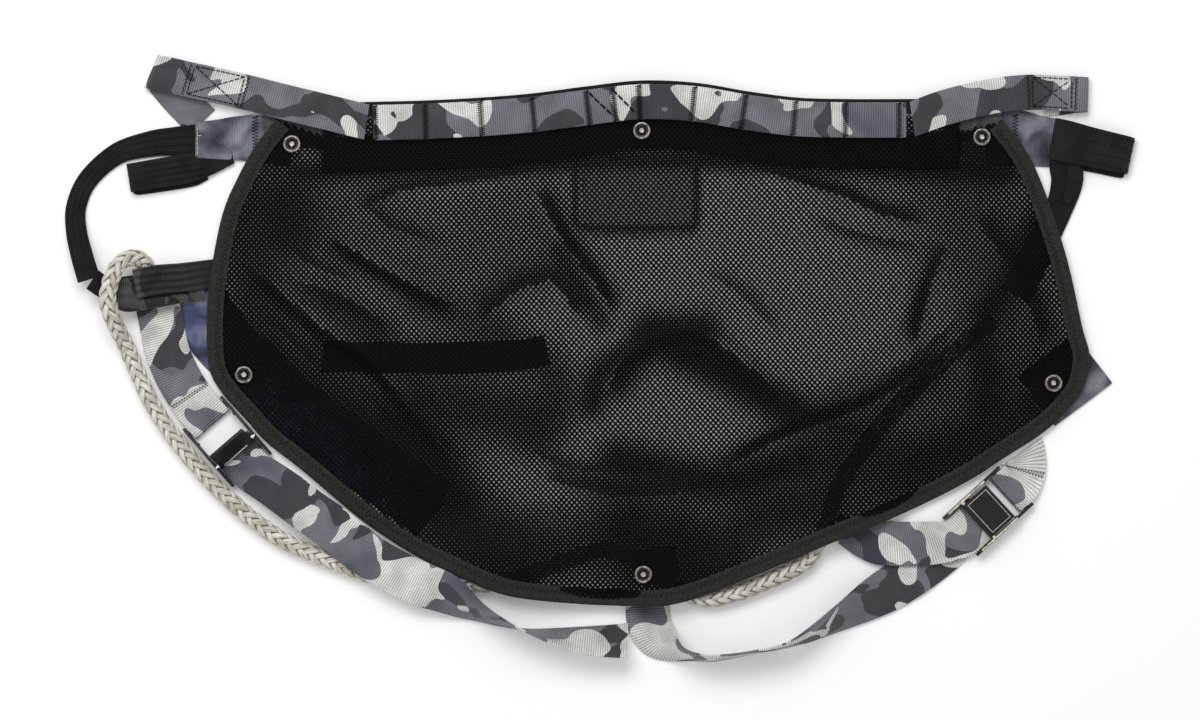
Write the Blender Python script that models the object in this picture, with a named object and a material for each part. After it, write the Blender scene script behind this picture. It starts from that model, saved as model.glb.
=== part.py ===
# Tree saddle laid flat on a floor: mesh seat, webbing loops, leg straps with cam buckles, bridge rope.
# Metres, +Z up, +Y towards the waist belt. Plan points are millimetres on the floor.
import math

import bmesh
import bpy
import numpy as np
from mathutils import Matrix, Vector, geometry

MM = 0.001

# Middle of the laid-out saddle on the floor plan, in millimetres: it becomes the origin
MIDDLE = (-1.65, -4.5)

# Cloth and webbing thicknesses
MESH_THICK = 0.0014
WEBBING_THICK = 0.0018
BRIDGE_THICK = 0.0026
BINDING_THICK = 0.0008
POCKET_THICK = 0.0010

# Widths
BELT_WIDTH = 0.0254
LEG_WIDTH = 0.032
TAB_WIDTH = 0.036
LINEMAN_WIDTH = 0.026
BRIDGE_WIDTH = 0.016
BRIDGE_ROOT_WIDTH = 0.017
BRIDGE_END_WIDTHS = (0.021, 0.021, 0.019)
FLAP_WIDTH = 0.020
BAND_WIDTH = 0.045
BINDING_WIDTH = 0.012

# Gaps
LAYER_GAP = 0.0004
LOOP_GAP = 0.0050
ROPE_CLEAR = 0.0009

# Top hem
HEM_LIP = 0.0025
HEM_DROP = 0.022
HEM_TUCK = 0.0085
HEM_KINK = 0.0010
BELT_RISE = 0.0060
BELT_RISE_SPAN = 0.065

# Rope
ROPE_DIAMETER = 0.013
ROPE_STEP = 0.018
ROPE_RIDGE = 0.015
ROPE_SLOPE = 0.060

# Snaps
SNAP_RADIUS = 0.0065
SNAP_HEIGHT = 0.0021
SNAP_HOLE = 0.0027
POST_RADIUS = 0.0022
CAP_RADIUS = 0.0060
CAP_THICK = 0.0011
SNAP_CUT = 0.0034
SNAP_FLAT = 0.0075
SNAP_BLEND = 0.0240
SNAP_SIDES = 14
SNAP_BEVEL = 0.0005

# Rear pocket patch
POCKET_WIDTH = 0.086
POCKET_HEIGHT = 0.057
POCKET_CORNER = 0.012

# Cam buckle, along the strap (length), across it (width) and up
BUCKLE_LENGTH = 0.055
BUCKLE_RAIL = 0.0018
BUCKLE_SIDE_GAP = 0.0009
BUCKLE_TOP = 0.0106
BUCKLE_FOOT = 0.0006
BAR_THICK = 0.0018
BAR_LENGTH = 0.004
BAR_INSET = 0.0035
BAR_FOLD_CLEAR = 0.0011
BAR_LEAD = 0.0078
GRIP_BAR_PLACE = 0.0095
PIN_RADIUS = 0.0015
PIN_CLEAR = 0.0001
PIN_RISE = 0.0052
PIN_INSET = 0.0003
ROD_SIDES = 16
CAM_RADIUS = 0.0025
LEVER_REACH = 0.021
LEVER_THICK = 0.002
LEVER_SIDE_GAP = 0.0015
LEVER_NOSE = 0.001
ANCHOR_RETURN = 0.006
LEFT_LEVER_LIFT = 62.0
RIGHT_LEVER_LIFT = 4.0

# Mesh steps
EDGE_STEP = 0.026
SEAT_STEP = 0.032
STRAP_STEP = 0.010
TWIST_STEP = 0.006
ROW_SHARE = math.sqrt(3) / 2
RIM_CLEAR = 0.005
SECOND_CLEAR = 0.0015
SNAP_SPARE = 0.006
POINT_CLEAR = 0.004
POINT_SPACING = 0.45 * SEAT_STEP
HOLE_DEPTH = 0.01
SHARP_ANGLE = math.radians(40)

# Layers above the floor
LOW = WEBBING_THICK / 2
ABOVE_BAND = WEBBING_THICK + LAYER_GAP + WEBBING_THICK / 2
SEAT_BOTTOM = WEBBING_THICK + CAP_THICK + 2 * LAYER_GAP
SEAT_TOP = SEAT_BOTTOM + MESH_THICK
HEM_BOTTOM = SEAT_TOP + LAYER_GAP
HEM_TOP = HEM_BOTTOM + MESH_THICK
BELT_MIDDLE = HEM_TOP + 1.5 * LAYER_GAP + WEBBING_THICK / 2
LOOP_TOP = WEBBING_THICK + LOOP_GAP + WEBBING_THICK / 2
BAR_BOTTOM = WEBBING_THICK + LAYER_GAP
BAR_TOP = BAR_BOTTOM + BAR_THICK
OVER_BAR = BAR_TOP + LAYER_GAP + WEBBING_THICK / 2
OVER_ROPE = ROPE_DIAMETER + ROPE_CLEAR + WEBBING_THICK / 2
EYE_STRAP = ROPE_DIAMETER + ROPE_CLEAR + BRIDGE_THICK / 2
EYE_TOP = EYE_STRAP + BRIDGE_THICK / 2 + ROPE_CLEAR + ROPE_DIAMETER / 2
ROPE_LOW = ROPE_DIAMETER / 2
ROPE_RISE = ROPE_DIAMETER + ROPE_CLEAR + LAYER_GAP + BINDING_THICK - SEAT_BOTTOM

# Curved edge of the seat from its upper left corner round to its upper right corner, plan millimetres
SEAT_EDGE = [
    (-233, 168), (-247, 150), (-260, 127), (-272, 98), (-281, 50), (-283, 15), (-281, -12), (-272, -29),
    (-255, -48), (-239.5, -65), (-214, -85), (-176, -117), (-151, -135), (-129, -148), (-109, -157),
    (-83, -169), (-59, -176), (-16, -180.5), (18, -182), (48, -181.5), (80, -172.5), (133, -151),
    (163, -138), (207, -120.5), (241, -105), (269, -90), (289, -77), (317, -59), (335, -43), (348, -25),
    (352, -2), (347, 18), (334, 74), (312, 135), (290, 167),
]
# Middle line of the belt, run on to both ends of the hem
HEM_LINE = [
    (-200, 164), (-163, 165), (-125, 166), (-86, 168), (-48, 171), (-8, 176), (30, 180), (68, 178.5),
    (105, 172.5), (142, 168), (179, 167), (220, 167), (258, 167),
]
BELT_LEFT = -163
BELT_RIGHT = 220
BELT_CROWN = 30

# Soft folds of the seat: route in plan, height, half width to its left and to its right, millimetres
SEAT_FOLDS = [
    ([(-259, 68), (-234, 48), (-211, 27), (-188, 9), (-166, -2), (-145, -30), (-117, -63), (-96, -90)], 8.0, 16, 6),
    ([(-197, 85), (-146, 55), (-100, 31)], 6.5, 17, 6),
    ([(-222, 52), (-186, 42), (-150, 18)], 3.5, 9, 6),
    ([(-176, 100), (-144, 116), (-94, 123), (-36, 133)], 4.0, 6, 13),
    ([(-48, 121), (-27, 81), (-5, 52), (11, 26)], 6.0, 6, 13),
    ([(-86, 22), (-58, 46), (-36, 52), (-14, 24)], 5.0, 9, 13),
    ([(108, 133), (152, 120), (180, 110), (202, 99), (238, 92)], 5.0, 6, 14),
    ([(80, -88), (134, -60), (184, -42), (220, -21), (258, 11)], 8.0, 6, 18),
    ([(250, 80), (235, 40), (226, 4)], 4.5, 15, 6),
    ([(2, -38), (14, -9), (36, 9), (65, 16), (94, 0), (136, -36)], 5.5, 10, 9),
    ([(-44, -90), (20, -104), (84, -96)], 3.5, 9, 13),
    ([(-200, -30), (-150, -72), (-94, -114)], 3.5, 9, 13),
    ([(268, 100), (300, 50), (318, 4)], 4.0, 8, 13),
]
FOLD_STEP = 0.016
FOLD_ENDS = (0.20, 0.78)
FOLD_FLANK = 1.4
EDGE_FADE = (0.013, 0.036)
HEM_FADE = (0.0375, 0.054)

# Bridge rope: plan millimetres and height of its middle
ROPE_ROUTE = [
    (-324, 44, ROPE_LOW), (-324, 54, ROPE_LOW + 0.0003), (-327, 64, 0.010), (-335, 68, 0.017),
    (-345, 62, EYE_TOP - 0.0015), (-351, 47, EYE_TOP), (-352, 35, EYE_TOP - 0.0002),
    (-349, 25, EYE_TOP - 0.0028), (-345, 15, 0.0135), (-340, 4, 0.0080), (-333, -13, ROPE_LOW),
    (-324, -33, ROPE_LOW), (-309.5, -56.5, ROPE_LOW), (-292.5, -78, ROPE_LOW), (-273.5, -99, ROPE_LOW),
    (-252, -118, ROPE_LOW), (-231, -133, ROPE_LOW), (-208, -144, ROPE_LOW), (-185, -153, ROPE_LOW),
    (-165, -160, ROPE_LOW), (-140, -164, ROPE_LOW), (-115, -163.5, ROPE_LOW), (-90, -166.5, ROPE_LOW),
    (-60, -163, ROPE_LOW), (-25, -150, ROPE_LOW), (5, -142, ROPE_LOW), (30, -150, ROPE_LOW),
    (52, -168, ROPE_LOW), (80, -177, ROPE_LOW), (121, -164, ROPE_LOW), (150, -148, ROPE_LOW),
    (162, -126, ROPE_LOW), (171, -98, ROPE_LOW), (190, -68, ROPE_LOW), (220, -32, ROPE_LOW),
    (256, 2, ROPE_LOW), (282, 22, ROPE_LOW),
]
ROPE_HIDDEN_FROM = 22

SNAP_PLACES = {
    "top_left": (-221.5, 150), "top_middle": (30, 159.5), "top_right": (274.5, 155),
    "low_left": (-256, -16), "low_middle": (31, -159), "low_right": (326, -22),
}
POCKET_PLACE = (29, 113)
LINEMAN_LOOPS = {"left": ((-294, 129.5), (-335, 121)), "right": ((342, 147), (378, 139.4))}
# Buckles: middle of the rail beside the seat, heading in degrees, and the side the strap lies on
LEFT_BUCKLE_RAIL = ((-253.9, -51.7), -49.0, -1)
RIGHT_BUCKLE_RAIL = ((266.3, -100.2), -137.4, 1)

for old in list(bpy.data.objects):
    bpy.data.objects.remove(old, do_unlink=True)


# Materials

def material(name, colour, roughness, metallic=0.0):
    made = bpy.data.materials.new(name)
    made.use_nodes = True
    shader = made.node_tree.nodes["Principled BSDF"]
    shader.inputs["Base Color"].default_value = (*colour, 1.0)
    shader.inputs["Roughness"].default_value = roughness
    shader.inputs["Metallic"].default_value = metallic
    return made


BLACK_MESH = material("black_mesh", (0.012, 0.012, 0.013), 0.8)
BLACK_WEBBING = material("black_webbing", (0.016, 0.016, 0.018), 0.75)
CAMO_WEBBING = material("camo_webbing", (0.26, 0.27, 0.31), 0.6)
SATIN_WEBBING = material("satin_webbing", (0.16, 0.18, 0.24), 0.5)
ROPE_FIBRE = material("rope_fibre", (0.52, 0.50, 0.45), 0.7)
SNAP_NICKEL = material("snap_nickel", (0.55, 0.52, 0.47), 0.3, 1.0)
BUCKLE_BLACK = material("buckle_black", (0.015, 0.015, 0.016), 0.4)
PIN_STEEL = material("pin_steel", (0.60, 0.60, 0.60), 0.3, 1.0)


# Plan and curve helpers

def at(x, y, z=0.0):
    return Vector(((x - MIDDLE[0]) * MM, (y - MIDDLE[1]) * MM, z))


def smooth(rows, step):
    # A smooth curve through every row, with more points in its longer stretches
    rows = np.array(rows, dtype=float)
    ends = np.vstack([2 * rows[0] - rows[1], rows, 2 * rows[-1] - rows[-2]])
    fine = []
    for before, here, there, after in zip(ends[:-3], ends[1:-2], ends[2:-1], ends[3:]):
        count = max(1, round(np.linalg.norm(there[:3] - here[:3]) / step))
        share = np.linspace(0.0, 1.0, count, endpoint=False)[:, None]
        bend = 2 * before - 5 * here + 4 * there - after
        turn = 3 * (here - there) + after - before
        fine.append(here + 0.5 * share * (there - before + share * (bend + share * turn)))
    return np.vstack(fine + [rows[-1:]])


def smooth_plan(points, step):
    return smooth([(*at(x, y).xy, 0.0) for x, y in points], step)[:, :2]


def plan_normals(points):
    # Unit normals to the left of the way along the points
    along = np.gradient(points, axis=0)
    along /= np.linalg.norm(along, axis=1)[:, None]
    return np.stack([-along[:, 1], along[:, 0]], axis=1)


def near_line(x, y, line):
    # Distance in plan from each point to a polyline, its side of it, and its share of the length
    points = np.stack([np.ravel(x), np.ravel(y)], axis=1)
    best = np.full(len(points), 1e9)
    side, place = np.zeros(len(points)), np.zeros(len(points))
    run = np.concatenate([[0.0], np.cumsum(np.linalg.norm(np.diff(line, axis=0), axis=1))])
    for start, end, done in zip(line[:-1], line[1:], run):
        way = end - start
        size = max(math.sqrt(way @ way), 1e-9)
        share = np.clip((points - start) @ way / size ** 2, 0.0, 1.0)
        off = points - start - share[:, None] * way
        gap = np.linalg.norm(off, axis=1)
        closer = gap < best
        best[closer] = gap[closer]
        side[closer] = (way[0] * off[:, 1] - way[1] * off[:, 0])[closer] / size
        place[closer] = ((done + share * size) / run[-1])[closer]
    return tuple(v.reshape(np.shape(x)) for v in (best, side, place))


def distance_to_line(x, y, line):
    return near_line(x, y, line)[0]


def ease(value, low, high):
    share = np.clip((value - low) / (high - low), 0.0, 1.0)
    return share * share * (3 - 2 * share)


# Objects

def add_object(name, mesh_data, finish, origin=Vector()):
    # The mesh comes in world places: its object takes the given origin
    bmesh.ops.recalc_face_normals(mesh_data, faces=mesh_data.faces)
    mesh_data.normal_update()
    if mesh_data.calc_volume(signed=True) < 0:
        bmesh.ops.reverse_faces(mesh_data, faces=mesh_data.faces)
    bmesh.ops.translate(mesh_data, verts=mesh_data.verts, vec=-Vector(origin))
    mesh = bpy.data.meshes.new(name)
    mesh_data.to_mesh(mesh)
    mesh_data.free()
    mesh.shade_smooth()
    mesh.set_sharp_from_angle(angle=SHARP_ANGLE)
    mesh.materials.append(finish)
    made = bpy.data.objects.new(name, mesh)
    made.location = origin
    bpy.context.collection.objects.link(made)
    return made


def loft(name, sections, finish, origin=Vector(), mirrored=()):
    # A closed tube through like sections, capped at both ends: mirrored sides split the other way
    shape = bmesh.new()
    rings = [[shape.verts.new(point) for point in section] for section in sections]
    count = len(rings[0])
    for ring, after in zip(rings[:-1], rings[1:]):
        for i in range(count):
            j = (i + 1) % count
            corners = [ring[i], ring[j], after[j], after[i]]
            if i in mirrored:
                corners = corners[1:] + corners[:1]
            shape.faces.new(corners[:3])
            shape.faces.new([corners[0], corners[2], corners[3]])
    shape.faces.new(rings[0][::-1])
    shape.faces.new(rings[-1])
    return add_object(name, shape, finish, origin)


def ribbon(name, rows, thick, finish, origin=Vector(), step=STRAP_STEP):
    # A strap along rows of plan x, y, height, direction of its width, tilt of its width, width
    rows = [(*at(x, y).xy, z, turn, tilt, width) for x, y, z, turn, tilt, width in rows]
    path = smooth(rows, step)
    rest = np.abs(np.sin(np.radians(path[:, 4]))) * path[:, 5] / 2
    path[:, 2] = np.maximum(path[:, 2], rest + np.abs(np.cos(np.radians(path[:, 4]))) * thick / 2)
    places = path[:, :3]
    along = np.gradient(places, axis=0)
    turn, tilt = np.radians(path[:, 3]), np.radians(path[:, 4])
    across = np.stack([np.cos(tilt) * np.cos(turn), np.cos(tilt) * np.sin(turn), np.sin(tilt)], axis=1)
    face = np.cross(along, across)
    face /= np.linalg.norm(face, axis=1)[:, None]
    side = across * path[:, 5:6] / 2
    up = face * thick / 2
    corners = [places + side + up, places + side - up, places - side - up, places - side + up]
    return loft(name, np.stack(corners, axis=1), finish, origin, mirrored=(1,))


def heading_rows(points, width, side=90.0):
    # Rows for a flat strap whose width stands square to its way on the floor
    plan = np.array([(x, y) for x, y, _ in points], dtype=float)
    way = np.gradient(plan, axis=0)
    turn = np.degrees(np.unwrap(np.arctan2(way[:, 1], way[:, 0]))) + side
    return [(x, y, z, a, 0.0, width) for (x, y, z), a in zip(points, turn)]


def half_turn(x, y, heading, high, low, turn_from, turn_to, width):
    # Rows that fold a strap over, from one height to another, past a plan point
    radius = (high - low) / 2
    rows = []
    for i in range(1, 6):
        angle = math.pi * i / 6
        reach = abs(radius) * math.sin(angle) / MM
        place = (x + reach * math.cos(heading), y + reach * math.sin(heading))
        height = (high + low) / 2 + radius * math.cos(angle)
        rows.append((*place, height, turn_from + (turn_to - turn_from) * i / 6, 0.0, width))
    return rows


def turned(name, profile, finish, place, sides=SNAP_SIDES):
    # A round piece from its outline of radius and height, which closes on itself or at the axis
    shape = bmesh.new()
    rings = []
    for radius, height in profile:
        if radius == 0.0:
            rings.append([shape.verts.new((0.0, 0.0, height))] * sides)
            continue
        angles = [2 * math.pi * i / sides for i in range(sides)]
        rings.append([shape.verts.new((radius * math.cos(a), radius * math.sin(a), height)) for a in angles])
    pairs = list(zip(rings, rings[1:] + rings[:1]))
    for ring, after in pairs if profile[0][0] else pairs[:-1]:
        for i in range(sides):
            j = (i + 1) % sides
            corners = [ring[i], ring[j], after[j], after[i]]
            corners = [c for k, c in enumerate(corners) if c not in corners[:k]]
            shape.faces.new(corners)
    bmesh.ops.translate(shape, verts=shape.verts, vec=place)
    return add_object(name, shape, finish, place)


def block(name, low, high, matrix):
    # A plain box between two corners of a local frame
    shape = bmesh.new()
    bmesh.ops.create_cube(shape, size=1.0)
    for vert in shape.verts:
        vert.co = [low[k] + (vert.co[k] + 0.5) * (high[k] - low[k]) for k in range(3)]
    shape.transform(matrix)
    return add_object(name, shape, BUCKLE_BLACK)


def combine(piece, tools, operation):
    for tool in tools:
        tool.hide_render = True
        tool.display_type = "WIRE"
        change = piece.modifiers.new(tool.name, "BOOLEAN")
        change.operation = operation
        change.object = tool


# Height of the seat

ROPE_LINE = smooth([(*at(x, y).xy, z) for x, y, z in ROPE_ROUTE], ROPE_STEP)
ROPE_UNDER = smooth_plan([(x, y) for x, y, _ in ROPE_ROUTE[ROPE_HIDDEN_FROM:]], ROPE_STEP)


EDGE = smooth_plan(SEAT_EDGE, EDGE_STEP)
EDGE_IN = plan_normals(EDGE)
HEM = smooth_plan(HEM_LINE, EDGE_STEP / 3)
HEM_UP = plan_normals(HEM)
FOLD_LINES = [(smooth_plan(route, FOLD_STEP), *size) for route, *size in SEAT_FOLDS]


def soft_rise(x, y):
    # How far the seat stands above its flat lay: over the rope, and in its folds
    over_rope = 1.0 - ease(distance_to_line(x, y, ROPE_UNDER), ROPE_RIDGE, ROPE_SLOPE)
    folds = np.zeros(np.shape(x))
    for line, height, left, right in FOLD_LINES:
        gap, side, place = near_line(x, y, line)
        ends = ease(place, 0.0, FOLD_ENDS[0]) * (1.0 - ease(place, FOLD_ENDS[1], 1.0))
        half_width = np.where(side > 0, left, right) * MM
        folds = folds + height * MM * ends * np.exp(-(gap / half_width) ** 2)
    fade = ease(distance_to_line(x, y, EDGE), *EDGE_FADE) * ease(distance_to_line(x, y, HEM), *HEM_FADE)
    return ROPE_RISE * over_rope + folds * fade


def seat_rise(x, y):
    # The same, level round each snap
    rise = soft_rise(x, y)
    for place in SNAP_PLACES.values():
        middle = at(*place)
        level = soft_rise(np.array([middle.x]), np.array([middle.y]))[0]
        share = ease(np.hypot(x - middle.x, y - middle.y), SNAP_FLAT, SNAP_BLEND)
        rise = level + (rise - level) * share
    return rise


def snap_level(place):
    middle = at(*place)
    return float(seat_rise(np.array([middle.x]), np.array([middle.y]))[0])


EDGE_RISE = seat_rise(EDGE[:, 0], EDGE[:, 1])


# Seat panel: flat triangles over its plan, raised to the seat's height

def seat_points():
    rim = EDGE + EDGE_IN * (BINDING_THICK + LAYER_GAP)
    second = EDGE + EDGE_IN * (BINDING_WIDTH + 2 * LAYER_GAP)
    top = (HEM - HEM_UP * HEM_TUCK)[::-3]
    loop = np.vstack([rim, top])
    heights = list(EDGE_RISE) + list(seat_rise(top[:, 0], top[:, 1]))
    brow = (HEM - HEM_UP * HEM_FADE[0])[::3]
    points = [Vector(p) for p in np.vstack([loop, second, brow])]
    heights += list(EDGE_RISE) + list(seat_rise(brow[:, 0], brow[:, 1]))
    holes = []
    inner = []
    for place in SNAP_PLACES.values():
        middle, level = at(*place).xy, snap_level(place)
        turns = [math.pi * i / 4 for i in range(8)]
        holes.append(list(range(len(points), len(points) + 8)))
        points += [middle + SNAP_CUT * Vector((math.cos(a), math.sin(a))) for a in turns]
        heights += [level] * 8
        inner += [(np.array(middle + SNAP_FLAT * Vector((math.cos(a), math.sin(a)))), level) for a in turns]
    lines = [(ROPE_UNDER, ROPE_RIDGE, ROPE_RIDGE)]
    lines += [(line, left * FOLD_FLANK * MM, right * FOLD_FLANK * MM) for line, _, left, right in FOLD_LINES]
    for line, left, right in lines:
        for shift in (0.0, left, -right):
            for spot in line + plan_normals(line) * shift:
                inner.append((spot, None))
    low, high = loop.min(axis=0), loop.max(axis=0)
    rows = int((high[1] - low[1]) / (SEAT_STEP * ROW_SHARE)) + 1
    for row in range(rows):
        for column in range(int((high[0] - low[0]) / SEAT_STEP) + 1):
            spot = low + np.array(((column + 0.5 * (row % 2)) * SEAT_STEP, row * SEAT_STEP * ROW_SHARE))
            inner.append((spot, None))
    return loop, holes, points, heights, inner, second, brow, top


def inside(spot, loop):
    ahead = np.roll(loop, -1, axis=0)
    crosses = (loop[:, 1] > spot[1]) != (ahead[:, 1] > spot[1])
    rise = np.where(np.abs(ahead[:, 1] - loop[:, 1]) < 1e-12, 1e-12, ahead[:, 1] - loop[:, 1])
    reach = (ahead[:, 0] - loop[:, 0]) * (spot[1] - loop[:, 1]) / rise + loop[:, 0]
    return np.count_nonzero(crosses & (spot[0] < reach)) % 2 == 1


def build_seat_panel():
    loop, holes, points, heights, inner, second, brow, top = seat_points()
    field = np.vstack([second, (top - np.array((0.0, 0.3 * SEAT_STEP)))])
    kept = []
    for spot, height in inner:
        spacing = POINT_SPACING if height is None else POINT_CLEAR
        if not inside(spot, loop) or distance_to_line(spot[0:1], spot[1:2], loop)[0] < RIM_CLEAR:
            continue
        rows = [distance_to_line(spot[0:1], spot[1:2], row)[0] for row in (second, brow)]
        if not inside(spot, field) or rows[0] < SECOND_CLEAR or rows[1] < POINT_CLEAR:
            continue
        snaps = [np.linalg.norm(spot - np.array(at(*place).xy)) for place in SNAP_PLACES.values()]
        spare = SNAP_SPARE if height is None else -MM
        if min(snaps) < SNAP_FLAT + spare:
            continue
        if kept and np.min(np.linalg.norm(np.array(kept) - spot, axis=1)) < spacing:
            continue
        kept.append(spot)
        points.append(Vector(spot))
        if height is None:
            height = float(seat_rise(spot[0:1], spot[1:2])[0])
        heights.append(height)
    count = len(loop)
    edges = [(i, (i + 1) % count) for i in range(count)]
    for start, row in ((count, second), (count + len(second), brow)):
        edges += [(start + i, start + i + 1) for i in range(len(row) - 1)]
    for ring in holes:
        edges += [(ring[i], ring[(i + 1) % len(ring)]) for i in range(len(ring))]
    places, _, faces, origins, _, _ = geometry.delaunay_2d_cdt(points, edges, [], 0, 1e-7)
    rises = [heights[source[0]] for source in origins]
    shape = bmesh.new()
    lower = [shape.verts.new((p.x, p.y, SEAT_BOTTOM + r)) for p, r in zip(places, rises)]
    upper = [shape.verts.new((p.x, p.y, SEAT_TOP + r)) for p, r in zip(places, rises)]
    for face in faces:
        middle = np.mean([places[i] for i in face], axis=0)
        gaps = [np.linalg.norm(middle - np.array(at(*place).xy)) for place in SNAP_PLACES.values()]
        if not inside(middle, loop) or min(gaps) < 0.9 * SNAP_CUT:
            continue
        shape.faces.new([upper[i] for i in face])
        shape.faces.new([lower[i] for i in reversed(face)])
    rims = [edge for edge in shape.edges if len(edge.link_faces) == 1]
    mate = {top_vert: low_vert for low_vert, top_vert in zip(lower, upper)}
    for edge in rims:
        a, b = edge.verts
        if a in mate and b in mate:
            shape.faces.new((a, b, mate[b], mate[a]))
    bmesh.ops.delete(shape, geom=[v for v in shape.verts if not v.link_faces], context="VERTS")
    return add_object("seat_panel", shape, BLACK_MESH)


# Binding tape: folded over the panel's curved edge

def build_binding():
    sections = []
    for place, inward, rise in zip(EDGE, EDGE_IN, EDGE_RISE):
        low, high = SEAT_BOTTOM + rise - LAYER_GAP, SEAT_TOP + rise + LAYER_GAP
        outline = [
            (0.0, low - BINDING_THICK), (BINDING_WIDTH, low - BINDING_THICK), (BINDING_WIDTH, low),
            (BINDING_THICK, low), (BINDING_THICK, high), (BINDING_WIDTH, high),
            (BINDING_WIDTH, high + BINDING_THICK), (0.0, high + BINDING_THICK),
        ]
        sections.append([(*(place + inward * inset), height) for inset, height in outline])
    loft("edge_binding", sections, BLACK_WEBBING)


# Top hem and belt, which rise together at the crown

def belt_rise(x):
    return BELT_RISE * math.exp(-(((x - at(BELT_CROWN, 0).x) / BELT_RISE_SPAN) ** 2))


def build_hem():
    sections = []
    kink = -BELT_WIDTH / 2 - HEM_KINK
    lip = BELT_WIDTH / 2 + HEM_LIP
    for place, up in zip(HEM, HEM_UP):
        across = [(-BELT_WIDTH / 2 - HEM_DROP, 0.0), (kink, 0.0), (lip, belt_rise(place[0]))]
        lower = [(*(place + up * reach), HEM_BOTTOM + rise) for reach, rise in across]
        upper = [(x, y, z + MESH_THICK) for x, y, z in reversed(lower)]
        sections.append(lower + upper)
    hem = loft("top_hem", sections, BLACK_WEBBING)
    place = at(*SNAP_PLACES["top_middle"], HEM_BOTTOM + MESH_THICK / 2)
    shape = bmesh.new()
    bmesh.ops.create_cone(
        shape, cap_ends=True, segments=SNAP_SIDES, radius1=SNAP_CUT, radius2=SNAP_CUT, depth=HOLE_DEPTH,
        matrix=Matrix.Translation(place))
    combine(hem, [add_object("hem_hole", shape, BLACK_WEBBING)], "DIFFERENCE")


def build_belt():
    run = BELT_WIDTH + HEM_LIP + HEM_KINK
    side = BELT_WIDTH / 2
    corners = [(-side, -LOW), (side, -LOW), (side, LOW), (-side, LOW)]
    left, right = at(BELT_LEFT, 0).x, at(BELT_RIGHT, 0).x
    sections = []
    for x in np.linspace(left, right, round((right - left) / STRAP_STEP) + 1):
        place = np.array((x, np.interp(x, HEM[:, 0], HEM[:, 1])))
        up = np.array([np.interp(x, HEM[:, 0], HEM_UP[:, k]) for k in range(2)])
        slope = belt_rise(x) / run
        middle = BELT_MIDDLE + slope * (side + HEM_KINK)
        sections.append([(*(place + up * a), middle + slope * a + b) for a, b in corners])
    loft("waist_belt", sections, CAMO_WEBBING)


# Rear pocket patch under the panel

def build_pocket():
    shape = bmesh.new()
    middle = at(*POCKET_PLACE, SEAT_BOTTOM - LAYER_GAP - POCKET_THICK)
    wide, tall = POCKET_WIDTH / 2 - POCKET_CORNER, POCKET_HEIGHT / 2 - POCKET_CORNER
    outline = []
    for corner, (sx, sy) in enumerate(((1, 1), (-1, 1), (-1, -1), (1, -1))):
        for i in range(4):
            angle = math.pi / 2 * (corner + i / 3)
            spot = (sx * wide + POCKET_CORNER * math.cos(angle), sy * tall + POCKET_CORNER * math.sin(angle))
            outline.append(shape.verts.new(middle + Vector((*spot, 0.0))))
    face = shape.faces.new(outline)
    lifted = bmesh.ops.extrude_face_region(shape, geom=[face])["geom"]
    tops = [item for item in lifted if isinstance(item, bmesh.types.BMVert)]
    bmesh.ops.translate(shape, verts=tops, vec=(0.0, 0.0, POCKET_THICK))
    add_object("rear_pocket", shape, BLACK_MESH)


# Snap fasteners: a socket on the front, a cap and post from the back

def build_snaps():
    for name, place in SNAP_PLACES.items():
        rise = snap_level(place)
        front = HEM_TOP if name == "top_middle" else SEAT_TOP + rise
        seat = at(*place, front + LAYER_GAP)
        dish = [
            (SNAP_HOLE, 0.0), (SNAP_RADIUS - SNAP_BEVEL, 0.0), (SNAP_RADIUS, 0.3 * SNAP_HEIGHT),
            (0.9 * SNAP_RADIUS, 0.85 * SNAP_HEIGHT), (0.76 * SNAP_RADIUS, SNAP_HEIGHT),
            (0.62 * SNAP_RADIUS, 0.6 * SNAP_HEIGHT), (SNAP_HOLE, 0.75 * SNAP_HEIGHT),
        ]
        turned("snap_socket_" + name, dish, SNAP_NICKEL, seat)
        back = at(*place, SEAT_BOTTOM + rise - LAYER_GAP - CAP_THICK)
        reach = seat.z - back.z + 0.6 * SNAP_HEIGHT
        cap = [
            (0.0, 0.0), (0.8 * CAP_RADIUS, 0.0), (CAP_RADIUS, 0.4 * CAP_THICK), (CAP_RADIUS, CAP_THICK),
            (POST_RADIUS, CAP_THICK), (POST_RADIUS, reach - SNAP_BEVEL), (0.7 * POST_RADIUS, reach),
            (0.0, reach),
        ]
        turned("snap_cap_" + name, cap, SNAP_NICKEL, back)


# Webbing that stays with the seat

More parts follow.
